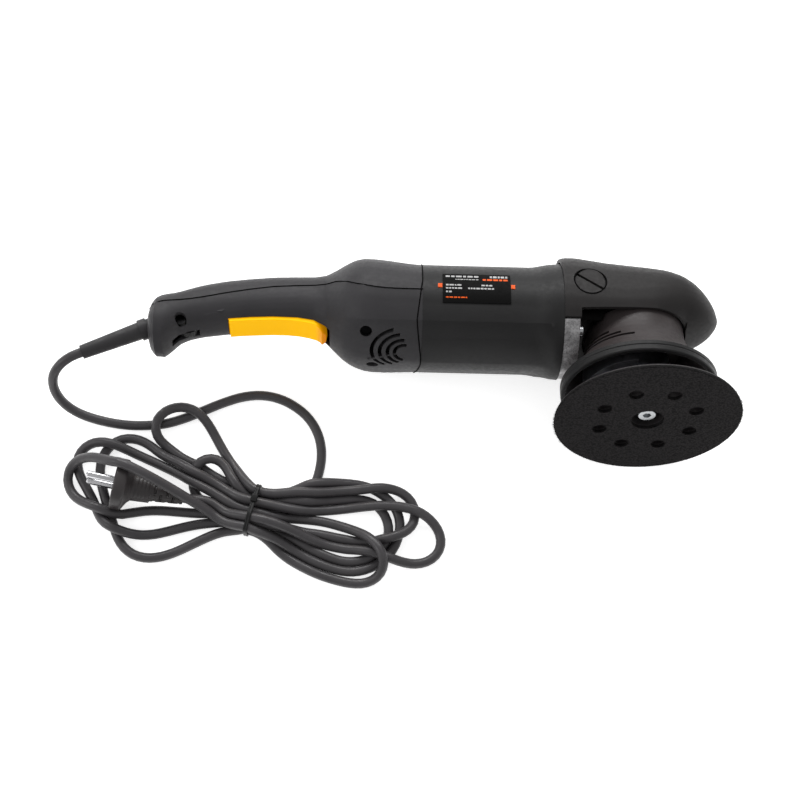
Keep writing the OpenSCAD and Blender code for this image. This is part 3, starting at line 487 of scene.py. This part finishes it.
def film(name, grey, rough, specular=0.4):
    """Thin printed film."""
    look = Look(name, grey, rough, specular=specular)
    look.drift(look.noise(70, 4), 0.85, 1.15)
    look.edges(0.0003)
    look.bump(look.noise(160, 3), 0.08, 0.0001)
    return look.done(look.noise(600, 3), 0.06)


LOOKS = {
    "handle_plastic": moulded("handle_plastic", (0.2, 0.196, 0.204), 0.5, specular=0.2),
    "housing_plastic": moulded("housing_plastic", (0.14, 0.139, 0.141), 0.46, specular=0.17),
    "cover_plastic": moulded("cover_plastic", (0.15, 0.143, 0.143), 0.5, specular=0.17),
    "skirt_plastic": moulded("skirt_plastic", (0.21, 0.19, 0.19), 0.45, specular=0.26),
    "black_plastic": moulded("black_plastic", (0.085, 0.084, 0.086), 0.42, specular=0.25),
    "ivory_plastic": moulded("ivory_plastic", (0.85, 0.83, 0.75), 0.4),
    "label_film": film("label_film", (0.012, 0.012, 0.012), 0.6, 0.08),
    "orange_film": film("orange_film", (0.93, 0.36, 0.06), 0.5, 0.2),
    "circuit_board": moulded("circuit_board", (0.1, 0.3, 0.16), 0.4),
    "capacitor_case": moulded("capacitor_case", (0.75, 0.6, 0.2), 0.3),
    "cast_aluminium": cast("cast_aluminium", (0.78, 0.775, 0.78)),
    "lamination_steel": laminated("lamination_steel", (0.42, 0.43, 0.46), 0.4, 0.0005),
    "enamelled_copper": laminated("enamelled_copper", (0.72, 0.38, 0.18), 0.3, 0.0006, 0.0002, 0.8),
    "bar_copper": laminated("bar_copper", (0.78, 0.47, 0.26), 0.3, 0.0008),
    "carbon": moulded("carbon", (0.1, 0.1, 0.1), 0.6),
    "brass_sheet": metal("brass_sheet", (0.8, 0.65, 0.3), 0.3),
    "bearing_steel": metal("bearing_steel", (0.8, 0.8, 0.82), 0.18, 500, 0.00001),
    "shaft_steel": metal("shaft_steel", (0.65, 0.67, 0.7), 0.25, 900, 0.00001, (0.05, 1, 1)),
    "gear_steel": metal("gear_steel", (0.5, 0.5, 0.52), 0.35),
    "counterweight_iron": metal("counterweight_iron", (0.4, 0.4, 0.42), 0.55, 500, 0.00015),
    "screw_steel": metal("screw_steel", (0.74, 0.75, 0.76), 0.3, 900, 0.00002),
    "plate_rubber": moulded("plate_rubber", (0.16, 0.148, 0.152), 0.55, 1100, 0.00005, specular=0.25),
    "pad_foam": foam("pad_foam", (0.07, 0.065, 0.068)),
    "hook_fabric": pile("hook_fabric", (0.03, 0.026, 0.028)),
    "cord_rubber": sheath("cord_rubber", (0.25, 0.242, 0.25), 0.4),
    "guard_rubber": sheath("guard_rubber", (0.165, 0.16, 0.168), 0.5),
    "plug_rubber": sheath("plug_rubber", (0.2, 0.186, 0.188), 0.4),
    "nickel": metal("nickel", (0.8, 0.8, 0.81), 0.22, 400, 0.00001),
    # painted shade: near-black steel that stands for the shade in the recesses round the screws
    "recess_shade_steel": metal("recess_shade_steel", (0.07, 0.07, 0.072), 0.45, 900, 0.00002, wear=0.1),
    "seam_shadow": moulded("seam_shadow", (0.02, 0.02, 0.021), 0.8, specular=0.05),
}
LIP_SHADE_X = (-220.5, -214.5)       # where painted shade deepens the trigger's colour on its lip, along the tool
TRIGGER_GLOW = 0.28


def lip(name, orange):
    """The trigger's plastic, with painted shade that deepens its colour on the lip at its front end."""
    look = Look(name, orange, 0.45, specular=0.06)
    look.drift(look.noise(22, 5), 0.95, 1.03)
    split = look.add("ShaderNodeSeparateXYZ")
    look.link(look.coords.outputs["Object"], split.inputs[0])
    start, end = ((AXIS_AT[0] + x) * MM for x in LIP_SHADE_X)
    # painted shade: the lip's front is tinted deep orange
    look.tint(look.span(split.outputs["X"], start, end, 0, 0.9), (0.72, 0.25, 0.02))
    look.edges(0.0005)
    look.bump(look.noise(700, 3, 0.6), 0.4, 0.00001)
    return look.done(look.noise(380, 4), 0.08)


# painted shade: these screws and the pin get near-black steel for the shade they sit in
DARK_STEEL = ("handle_screws", "plate_screws", "trigger_pin")
LOOKS["trigger_plastic"] = lip("trigger_plastic", (1.0, 0.76, 0.0))
# painted light: the trigger's plastic glows orange, though it is no lamp
glow = LOOKS["trigger_plastic"].node_tree.nodes["Principled BSDF"].inputs
glow["Emission Color"].default_value = (1, 0.45, 0, 1)
glow["Emission Strength"].default_value = TRIGGER_GLOW
for part in frame["record"]["subparts"]:
    node = frame["nodes"][part["node"]]
    node.data.materials.clear()
    look = "recess_shade_steel" if part["node"] in DARK_STEEL else part["material_slot"]
    node.data.materials.append(LOOKS[look])
FINISH = {part["node"]: part["material_slot"] for part in frame["record"]["subparts"]}
BODY = {n: b for b, nodes in frame["record"]["behaviour"]["bodies"].items() for n in nodes}


# ---------------------------------------------------------------- finer skins over the CAD's facets
def tool(v):
    """A point of the row frame, in metres, as (x, y, z) of the upright tool in mm."""
    s, c = math.sin(ROLL), math.cos(ROLL)
    y, z = v[1] / MM - AXIS_AT[1], v[2] / MM - AXIS_AT[2]
    return v[0] / MM - AXIS_AT[0], -s * y - c * z, c * y - s * z


CREASE, FLAT = 37.5, 66.0     # degrees round from the barrel's crown to the crease, and the facet's width
FACET_DEPTH = 1.6
SNAP = 1.9                    # degrees within which a vertex is drawn onto the crease
RIDGE, RIDGE_HALF = 1.9, 19.0
UPPER_FACET = -66.0            # where the facet that bears the label starts
FLARE_X, FLARE_SHIFT = -76.0, 6.5
FLARE_BACK, FLARE_FRONT = 12, 18   # how far behind and before its start the flare is shifted
FADE_TAIL, FADE_HEAD = (-203, 22), (-57, 9)   # where the reshaping fades in and out, and over what length
CORE_R = 31                   # points nearer the axis than this stay
SKIN_EDGE = 0.004             # longest edge of a finer skin
SKIN_SHARP = 34               # degrees from which an edge stays sharp
SKIN_SPLITS, SKIN_RELAX = 3, 6
RELAX_REACH = 0.0003          # how far the relaxing may move a point
SHARP_POINTS = {}


def crease(x, y, z):
    """Moves a point of the motor's or the bulge's skin onto the flattened facet below its crease.
    Gives its x, y and z, and whether it lies on an edge that stays sharp."""
    r = math.hypot(y, z)
    turn = math.degrees(math.atan2(-z, abs(y)))
    fade = (min(1.0, max(0.0, (x - FADE_TAIL[0]) / FADE_TAIL[1]))
            * min(1.0, max(0.0, (FADE_HEAD[0] - x) / FADE_HEAD[1])))
    if r < CORE_R or fade <= 0:
        return x, y, z, False
    crest = abs(turn - CREASE) < SNAP
    if crest:
        y, z = math.copysign(r * math.cos(math.radians(CREASE)), y), -r * math.sin(math.radians(CREASE))
        turn = CREASE
    t = (turn - CREASE) / FLAT
    ridge = RIDGE * max(0.0, 1 - abs(turn - CREASE) / RIDGE_HALF) ** 1.4
    dip = FACET_DEPTH * math.sin(math.pi * t) if 0 < t < 1 else 0.0
    k = 1 + fade * (ridge - dip) / r
    # the flare starts farther forward in the middle of each facet
    u = (turn - UPPER_FACET) / (CREASE - UPPER_FACET) if turn < CREASE else t
    shift = FLARE_SHIFT * math.sin(math.pi * u) if 0 < u < 1 else 0.0
    near = max(0.0, 1 - abs(x - FLARE_X) / (FLARE_BACK if x < FLARE_X else FLARE_FRONT))
    return x + shift * near, y * k, z * k, crest or abs(x - FLARE_X) < 0.3


def skin_of(node, reshape=None):
    """A finer copy of a CAD part's skin: long edges are split, facets relax into curves between the
    sharp edges, and it stands for the part."""
    bm = bmesh.new()
    bm.from_mesh(frame["nodes"][node].data)
    bmesh.ops.remove_doubles(bm, verts=bm.verts[:], dist=0.000002)
    for _ in range(SKIN_SPLITS):
        long_edges = [e for e in bm.edges if e.calc_length() > SKIN_EDGE]
        if not long_edges:
            break
        bmesh.ops.subdivide_edges(bm, edges=long_edges, cuts=1)
        bmesh.ops.triangulate(bm, faces=[f for f in bm.faces if len(f.verts) > 3])
    bm.verts.ensure_lookup_table()
    limit = math.radians(SKIN_SHARP)
    fixed = {v.index for e in bm.edges
             if len(e.link_faces) != 2 or e.calc_face_angle(0) > limit for v in e.verts}
    at = np.array([v.co[:] for v in bm.verts])
    rest = at.copy()
    pairs = np.array([(e.verts[0].index, e.verts[1].index) for e in bm.edges])
    count = np.bincount(pairs.ravel(), minlength=len(at))[:, None]
    loose = np.ones((len(at), 1))
    loose[list(fixed)] = 0
    for k in range(2 * SKIN_RELAX):
        total = np.zeros_like(at)
        np.add.at(total, pairs[:, 0], at[pairs[:, 1]])
        np.add.at(total, pairs[:, 1], at[pairs[:, 0]])
        at += loose * (0.5 if k % 2 == 0 else -0.48) * (total / np.maximum(count, 1) - at)
    away = at - rest
    far = np.linalg.norm(away, axis=1)[:, None]
    at = rest + away * np.minimum(1, RELAX_REACH / np.maximum(far, 1e-9))
    SHARP_POINTS[node] = at[sorted(fixed)]
    crest = set()
    for v, p in zip(bm.verts, at):
        if reshape:
            x, y, z = tool(p)
            x, y, z, on_crest = reshape(x, y, z)
            p = lay(x, y, z)
            if on_crest:
                crest.add(v.index)
        v.co = p
    for e in bm.edges:
        e.smooth = (len(e.link_faces) == 2 and e.calc_face_angle(0) < limit
                    and not (e.verts[0].index in crest and e.verts[1].index in crest))
    mesh = bpy.data.meshes.new(node + "_skin")
    bm.to_mesh(mesh)
    bm.free()
    for f in mesh.polygons:
        f.use_smooth = True
    obj = bpy.data.objects.new(node + "_skin", mesh)
    scene.collection.objects.link(obj)
    mesh.materials.append(LOOKS[FINISH[node]])
    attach(obj, BODY[node])
    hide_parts(node)


skin_of("upper_handle_shell")
skin_of("lower_handle_shell", reshape=crease)
skin_of("motor_housing", reshape=crease)
skin_of("head_cover")


def tube(name, points, radius, look, closed=False, sides=8):
    """A thin round bead along points, in metres."""
    pts = [Vector(p) for p in points]
    n, verts = len(pts), []
    for k, p in enumerate(pts):
        a = pts[(k - 1) % n] if closed or k > 0 else p
        b = pts[(k + 1) % n] if closed or k < n - 1 else p
        way = (b - a).normalized()
        side = way.cross(Vector((0.13, 0.31, 0.94))).normalized()
        rise = way.cross(side)
        verts += [p + radius * (math.cos(a) * side + math.sin(a) * rise)
                  for a in (2 * math.pi * j / sides for j in range(sides))]
    faces = grid(n, sides)
    if closed:
        faces += ring_faces(n, sides)
    else:
        faces += [tuple(range(sides))[::-1], tuple((n - 1) * sides + j for j in range(sides))]
    obj = new_mesh(name, verts, faces)
    obj.data.materials.append(LOOKS[look])
    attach(obj, "housing")


SEAM_STEP, SEAM_PROUD = 4, 0.12


def parting_line(side):
    """The outer edge of the joint between the two handle shells, on one side, from tail to motor."""
    best = {}
    for p in SHARP_POINTS["upper_handle_shell"]:
        x, y, z = tool(p)
        key = round(x / SEAM_STEP)
        if y * side > 1 and (key not in best or abs(y) > abs(best[key][1])):
            best[key] = (x, y, z)
    return [lay(x, y + SEAM_PROUD * side, z) for x, y, z in (best[k] for k in sorted(best))]


SEAM_R, CAP_SEAM_R, JOINT_SEAM_R = 0.00038, 0.0005, 0.00045   # in metres
for side, name in ((-1, "parting_seam_top"), (1, "parting_seam_under")):
    tube(name, parting_line(side), SEAM_R, "seam_shadow")

JOINT_X, JOINT_R, JOINT_BOW, BOW_HALF = -148.1, 37.55, 3.6, 46


def joint_ring():
    """The joint between handle and motor, which bows back below its crown."""
    out = []
    for k in range(120):
        a = 2 * math.pi * k / 120
        y, z = -JOINT_R * math.cos(a), -JOINT_R * math.sin(a)
        turn = math.degrees(math.atan2(-z, abs(y)))
        bow = JOINT_BOW * max(0.0, 1 - abs(turn - CREASE) / BOW_HALF)
        _, y, z, _ = crease(-148, y, z)
        out.append(lay(JOINT_X - bow, y, z))
    return out


CAP_AT, CAP_HOLE_R = (-34.5, 6.5), 10.95
CAP_RAY = (60, 20)            # the rays run inwards between these distances from the tool's middle
cover = frame["nodes"]["head_cover"].data
cover_tree = BVHTree.FromPolygons([v.co for v in cover.vertices], [f.vertices[:] for f in cover.polygons])


def round_the_cap(side):
    """The rim of the hole round a slotted cap, on the cover's surface."""
    out = []
    for k in range(60):
        a = 2 * math.pi * k / 60
        x, z = CAP_AT[0] + CAP_HOLE_R * math.cos(a), CAP_AT[1] + CAP_HOLE_R * math.sin(a)
        start, end = lay(x, side * CAP_RAY[0], z), lay(x, side * CAP_RAY[1], z)
        hit = cover_tree.ray_cast(start, (end - start).normalized(), (end - start).length)[0]
        if hit:
            out.append(hit)
    return out


for side, name in ((-1, "cap_seam_top"), (1, "cap_seam_under")):
    tube(name, round_the_cap(side), CAP_SEAM_R, "seam_shadow", closed=True)
tube("joint_seam", joint_ring(), JOINT_SEAM_R, "seam_shadow", closed=True)

# ---------------------------------------------------------------- the cord itself
curve = bpy.data.curves.new("mains_cord", "CURVE")
curve.dimensions = "3D"
curve.bevel_depth = CORD_D / 2 * MM
curve.bevel_resolution = 5
curve.use_fill_caps = True
spline = curve.splines.new("POLY")
spline.points.add(len(cord_line) - 1)
for point, at in zip(spline.points, cord_line):
    point.co = (*(at * MM), 1)
spline.use_smooth = True
cord = bpy.data.objects.new("mains_cord", curve)
scene.collection.objects.link(cord)
curve.materials.append(LOOKS["cord_rubber"])


# ---------------------------------------------------------------- tie, plug
def hull(points):
    """The convex outline of points in a plane, anticlockwise."""
    pts = sorted(map(tuple, points))

    def half(seq):
        out = []
        for p in seq:
            while len(out) > 1 and ((out[-1][0] - out[-2][0]) * (p[1] - out[-2][1])
                                    - (out[-1][1] - out[-2][1]) * (p[0] - out[-2][0])) <= 0:
                out.pop()
            out.append(p)
        return out[:-1]
    return half(pts) + half(pts[::-1])


def tie_strap():
    """A strap pulled tight round every pass, with its lock on top."""
    q = cord_line[:, :2] - np.array(TIE)
    s, u = q @ np.array(TIE_DIR), q @ np.array(TIE_ACROSS)
    near = (np.abs(s) < 2.6) & (np.abs(u) < 24)
    reach = CORD_D / 2 + 0.25
    turns = np.linspace(0, 2 * math.pi, 24, endpoint=False)
    ring = [(a + reach * math.cos(t), z + reach * math.sin(t))
            for a, z in zip(u[near], cord_line[near, 2]) for t in turns]
    line = np.array([*map(np.array, hull(ring))])
    line = resample(np.c_[np.vstack([line, line[:1]]), np.zeros(len(line) + 1)], 1.2)[:-1, :2]
    line = (line + np.roll(line, 1, 0) + np.roll(line, -1, 0)) / 3
    along = np.roll(line, -1, 0) - np.roll(line, 1, 0)
    out = np.stack([along[:, 1], -along[:, 0]], 1) / np.linalg.norm(along, axis=1)[:, None]
    section = [(-1.35, 0.0), (-1.5, 0.2), (-1.5, 0.75), (-1.3, 1.0), (-0.5, 1.0), (-0.3, 0.85), (0.3, 0.85),
               (0.5, 1.0), (1.3, 1.0), (1.5, 0.75), (1.5, 0.2), (1.35, 0.0)]
    verts = []
    for p, o in zip(line, out):
        for side, h in section:
            a, z = p + o * h
            xy = np.array(TIE) + a * np.array(TIE_ACROSS) + side * np.array(TIE_DIR)
            verts.append((xy[0] * MM, xy[1] * MM, max(z, 0.05) * MM))
    rows, cols = len(line), len(section)
    return new_mesh("tie_strap", verts, grid(rows, cols) + ring_faces(rows, cols)), line


def rounded_box(name, size, radius, matrix, segments=3):
    bm = bmesh.new()
    bmesh.ops.create_cube(bm, size=1, matrix=Matrix.Diagonal((*size, 1)))
    bmesh.ops.bevel(bm, geom=bm.edges[:], offset=radius, segments=segments, profile=0.5, affect="EDGES")
    bm.transform(matrix)
    mesh = bpy.data.meshes.new(name)
    bm.to_mesh(mesh)
    bm.free()
    for f in mesh.polygons:
        f.use_smooth = True
    obj = bpy.data.objects.new(name, mesh)
    scene.collection.objects.link(obj)
    return obj


strap, strap_line = tie_strap()
strap.data.materials.append(LOOKS["black_plastic"])
k = int(np.argmax(strap_line[:, 1] - 0.25 * np.abs(strap_line[:, 0] - 6)))
xy = np.array(TIE) + strap_line[k, 0] * np.array(TIE_ACROSS)
lock_frame = Matrix(((TIE_DIR[0], TIE_ACROSS[0], 0), (TIE_DIR[1], TIE_ACROSS[1], 0), (0, 0, 1))).to_4x4()
lock = rounded_box("tie_lock", (0.0046, 0.0052, 0.0030), 0.0007,
                   Matrix.Translation((xy[0] * MM, xy[1] * MM, (strap_line[k, 1] + 1.3) * MM)) @ lock_frame)
lock.data.materials.append(LOOKS["black_plastic"])


NECK_Z, NECK_R, GRIP_PITCH = -8.4, 9.7, 2.6
BOOT_Z, BOOT_R, BOOT_PITCH = -21.45, (7.4, 4.7), 4.3
ROW = 0.45                     # spacing of the plug's rows of points


def plug():
    """The moulded plug: a round face plate with a rolled rim, a gripped neck and a slotted boot."""
    turns = 96
    profile = [(3.9, 0.0), (4.0, 6.0), (4.0, 12.0), (3.75, 12.3), (3.75, 15.0), (4.0, 15.3), (4.0, 16.5),
               (3.6, 17.3), (2.8, 17.6), (1.5, 17.6), (-2.6, 17.6), (-3.6, 17.2), (-4.6, 15.9), (-5.8, 13.6),
               (-7.0, 11.6), (-8.4, 10.3)]
    angles = [2 * math.pi * k / turns for k in range(turns)]
    rows = [(z, [r] * turns) for z, r in profile]
    for k in range(1, 30):
        z = NECK_Z - ROW * k
        ring = []
        for a in angles:
            flat = 1 - 0.12 * abs(math.cos(a)) ** 6
            wave = 0.35 * max(0.0, math.sin((z - NECK_Z) * 2 * math.pi / GRIP_PITCH)) * (abs(math.cos(a)) > 0.55)
            ring.append((NECK_R - (NECK_Z - z) * 0.09) * flat - wave)
        rows.append((z, ring))
    for k in range(1, 50):
        z = BOOT_Z - ROW * k
        t = (BOOT_Z - z) / 22.0
        base = BOOT_R[0] - (BOOT_R[0] - BOOT_R[1]) * t
        band = math.sin((z - BOOT_Z) * 2 * math.pi / BOOT_PITCH)
        ring = []
        for a in angles:
            window = math.cos(3 * a + (math.pi if int((BOOT_Z - z) / BOOT_PITCH) % 2 else 0))
            cut = min(1.0, max(0.0, (band - 0.15) * 3)) * min(1.0, max(0.0, (window + 0.35) * 4))
            ring.append(base - 1.7 * cut * (0.04 < t < 0.93))
        rows.append((z, ring))
    rows += [(-BOOT_END, [4.3] * turns), (-BOOT_END, [3.2] * turns)]
    verts = [(r * math.cos(a), r * math.sin(a), z) for z, ring in rows for r, a in zip(ring, angles)]
    faces = grid(len(rows), turns)
    obj = new_mesh("plug", [plug_matrix() @ (Vector(v) * MM) for v in verts], faces)
    bm = bmesh.new()
    bm.from_mesh(obj.data)
    bmesh.ops.remove_doubles(bm, verts=bm.verts[:], dist=0.00001)
    open_edges = [e for e in bm.edges if e.is_boundary]
    if open_edges:
        bmesh.ops.holes_fill(bm, edges=open_edges)
    bmesh.ops.recalc_face_normals(bm, faces=bm.faces[:])
    bm.to_mesh(obj.data)
    bm.free()
    for f in obj.data.polygons:
        f.use_smooth = True
    return obj


plug_piece = plug()
plug_piece.data.materials.append(LOOKS["plug_rubber"])

for piece, slot_name in ((cord, "cord_rubber"), (strap, "black_plastic"), (lock, "black_plastic"),
                         (plug_piece, "plug_rubber")):
    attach(piece, "housing")
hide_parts("cord_lead", "cord_hank")
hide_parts("cord_tie")
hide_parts("plug_body")

# ---------------------------------------------------------------- print on the label
LABEL_R = 37.5 + 0.6           # the barrel and the label on it


def on_barrel(x, arc, lift):
    """A point on the motor's barrel: arc in mm round from the middle of the label, towards the floor."""
    a = math.radians(180) + arc / LABEL_R
    return lay(x, (LABEL_R + lift) * math.cos(a), (LABEL_R + lift) * math.sin(a))


def print_piece(name, strips, look):
    """Raised strips of print, each (x0, x1, arc0, arc1) in mm, following the barrel."""
    verts, faces = [], []
    for x0, x1, a0, a1 in strips:
        s = len(verts)
        for lift in (-0.05, 0.03):
            for x in (x0, x1):
                for a in np.linspace(a0, a1, 3):
                    verts.append(on_barrel(x, a, lift))
        faces.extend(tuple(s + k for k in f) for f in
                     ((6, 7, 10, 9), (7, 8, 11, 10), (0, 3, 4, 1), (1, 4, 5, 2), (0, 1, 7, 6), (1, 2, 8, 7),
                      (3, 9, 10, 4), (4, 10, 11, 5), (0, 6, 9, 3), (2, 5, 11, 8)))
    obj = new_mesh(name, verts, faces, smooth=False)
    bm = bmesh.new()
    bm.from_mesh(obj.data)
    bmesh.ops.recalc_face_normals(bm, faces=bm.faces[:])
    bm.to_mesh(obj.data)
    bm.free()
    obj.data.materials.append(LOOKS[look])
    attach(obj, "housing")


def dashes(x0, x1, arc, high, unit, rng):
    """A line of plain dashes of uneven length, which stands for a line of print."""
    out, x = [], x0
    while x < x1 - unit:
        w = min(rng.uniform(1.2, 3.4) * unit, x1 - x)
        out.append((x, x + w, arc - high / 2, arc + high / 2))
        x += w + 0.6 * unit
    return out


LOOKS["white_ink"] = film("white_ink", (0.7, 0.7, 0.7), 0.5)
# Each line of dashes runs from one x to another at an arc, with its height and its dashes' unit, all in mm.
rng = random.Random(7)
white = dashes(-132.5, -109.0, -9.6, 1.7, 1.5, rng) + dashes(-102.5, -90.5, -9.6, 2.0, 1.1, rng)
white += dashes(-126, -110, -6.6, 0.8, 0.7, rng)
for arc, x1 in ((-1.4, -121.5), (1.3, -121.0), (4.2, -128.6)):
    white += dashes(-132.5, x1, arc, 1.25, 0.9, rng)
for arc, x0 in ((-1.4, -108.5), (1.3, -117.5)):
    white += dashes(x0, -100, arc, 1.25, 0.9, rng)
print_piece("label_print", white, "white_ink")
orange = dashes(-107.5, -90.5, -6.6, 1.6, 1.2, rng) + dashes(-132.5, -118, 8.4, 0.9, 0.8, rng)
print_piece("label_rule", orange, "orange_film")

# ---------------------------------------------------------------- fringe of the hook-and-loop face
PAD_X, FACE_Z, PLATE_R = 4.0, -79.0, 62.5
HOLES, HOLE_CIRCLE_R, HOLE_R, CENTRE_R = 8, 33, 5.0, 11.0
FRINGE_REACH = 1.6


def fringe():
    """Short fibres that stand out round the face's rim and round its holes."""
    rng = random.Random(11)
    verts, faces = [], []
    rims = [((0.0, 0.0), PLATE_R, 900, 1)]
    for k in range(HOLES):
        a = math.radians(22.5 + 45 * k)
        rims.append(((HOLE_CIRCLE_R * math.cos(a), HOLE_CIRCLE_R * math.sin(a)), HOLE_R, 110, -1))
    rims.append(((0.0, 0.0), CENTRE_R, 150, -1))
    for (cx, cy), r, count, way in rims:
        for k in range(count):
            a = 2 * math.pi * (k + rng.random()) / count
            long, thick = rng.uniform(0.35, 1.0) * rng.uniform(0.6, 1.9), rng.uniform(0.1, 0.19)
            if way > 0:
                long = min(long, FRINGE_REACH)
            z, lean = FACE_Z + rng.uniform(0.15, 0.9), rng.uniform(-0.5, 0.5)
            s = len(verts)
            for t in (0.0, 0.5, 1.0):
                w = thick * (1 - 0.7 * t)
                rr = r + way * (long * t - 0.15)
                mid = a + lean * 0.02 * t
                x, y = cx + rr * math.cos(mid), cy + rr * math.sin(mid)
                tx, ty = -math.sin(mid) * w, math.cos(mid) * w
                dz = lean * 0.3 * t * t
                for ox, oy, oz in ((tx, ty, 0), (-tx, -ty, 0), (0, 0, w * 1.6)):
                    verts.append(lay(PAD_X + x + ox, y + oy, z + dz + oz))
            for b in (0, 3):
                for e in range(3):
                    f = (e + 1) % 3
                    faces.append((s + b + e, s + b + f, s + b + 3 + f, s + b + 3 + e))
            faces.append((s, s + 2, s + 1))
            faces.append((s + 6, s + 7, s + 8))
    obj = new_mesh("face_fringe", verts, faces)
    obj.data.materials.append(LOOKS["hook_fabric"])
    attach(obj, "pad")


fringe()

# ---------------------------------------------------------------- floor and light
FLOOR_HALF, FLOOR_Z, FLOOR_GLOW = 30, -0.0003, 0.7
WORLD_LIGHT = 0.55
corners = ((-1, -1), (1, -1), (1, 1), (-1, 1))
floor = new_mesh("floor", [(x * FLOOR_HALF, y * FLOOR_HALF, FLOOR_Z) for x, y in corners], [(0, 1, 2, 3)],
                 smooth=False)
paper = Look("paper", (0.965, 0.965, 0.965), 0.9, specular=0.05)
paper.shader.inputs["Emission Color"].default_value = (1, 1, 1, 1)
paper.shader.inputs["Emission Strength"].default_value = FLOOR_GLOW
paper.drift(paper.noise(3, 2), 0.995, 1.005)
floor.data.materials.append(paper.done(paper.noise(9, 2), 0.02))


def area(name, at, look_at, size, watts):
    data = bpy.data.lights.new(name, "AREA")
    data.shape = "RECTANGLE"
    data.size, data.size_y = size
    data.energy = watts
    lamp = bpy.data.objects.new(name, data)
    scene.collection.objects.link(lamp)
    lamp.location = at
    lamp.rotation_euler = (Vector(look_at) - Vector(at)).to_track_quat("-Z", "Y").to_euler()


area("key", (-0.1, 1.5, 1.1), (0, 0, 0.03), (2.0, 0.7), 30)
area("fill", (-1.5, -0.2, 1.0), (0, 0, 0.03), (0.8, 0.8), 5)
world = bpy.data.worlds.new("studio")
world.use_nodes = True
world.node_tree.nodes["Background"].inputs["Color"].default_value = (1, 1, 1, 1)
world.node_tree.nodes["Background"].inputs["Strength"].default_value = WORLD_LIGHT
scene.world = world
scene.view_settings.view_transform = "Standard"
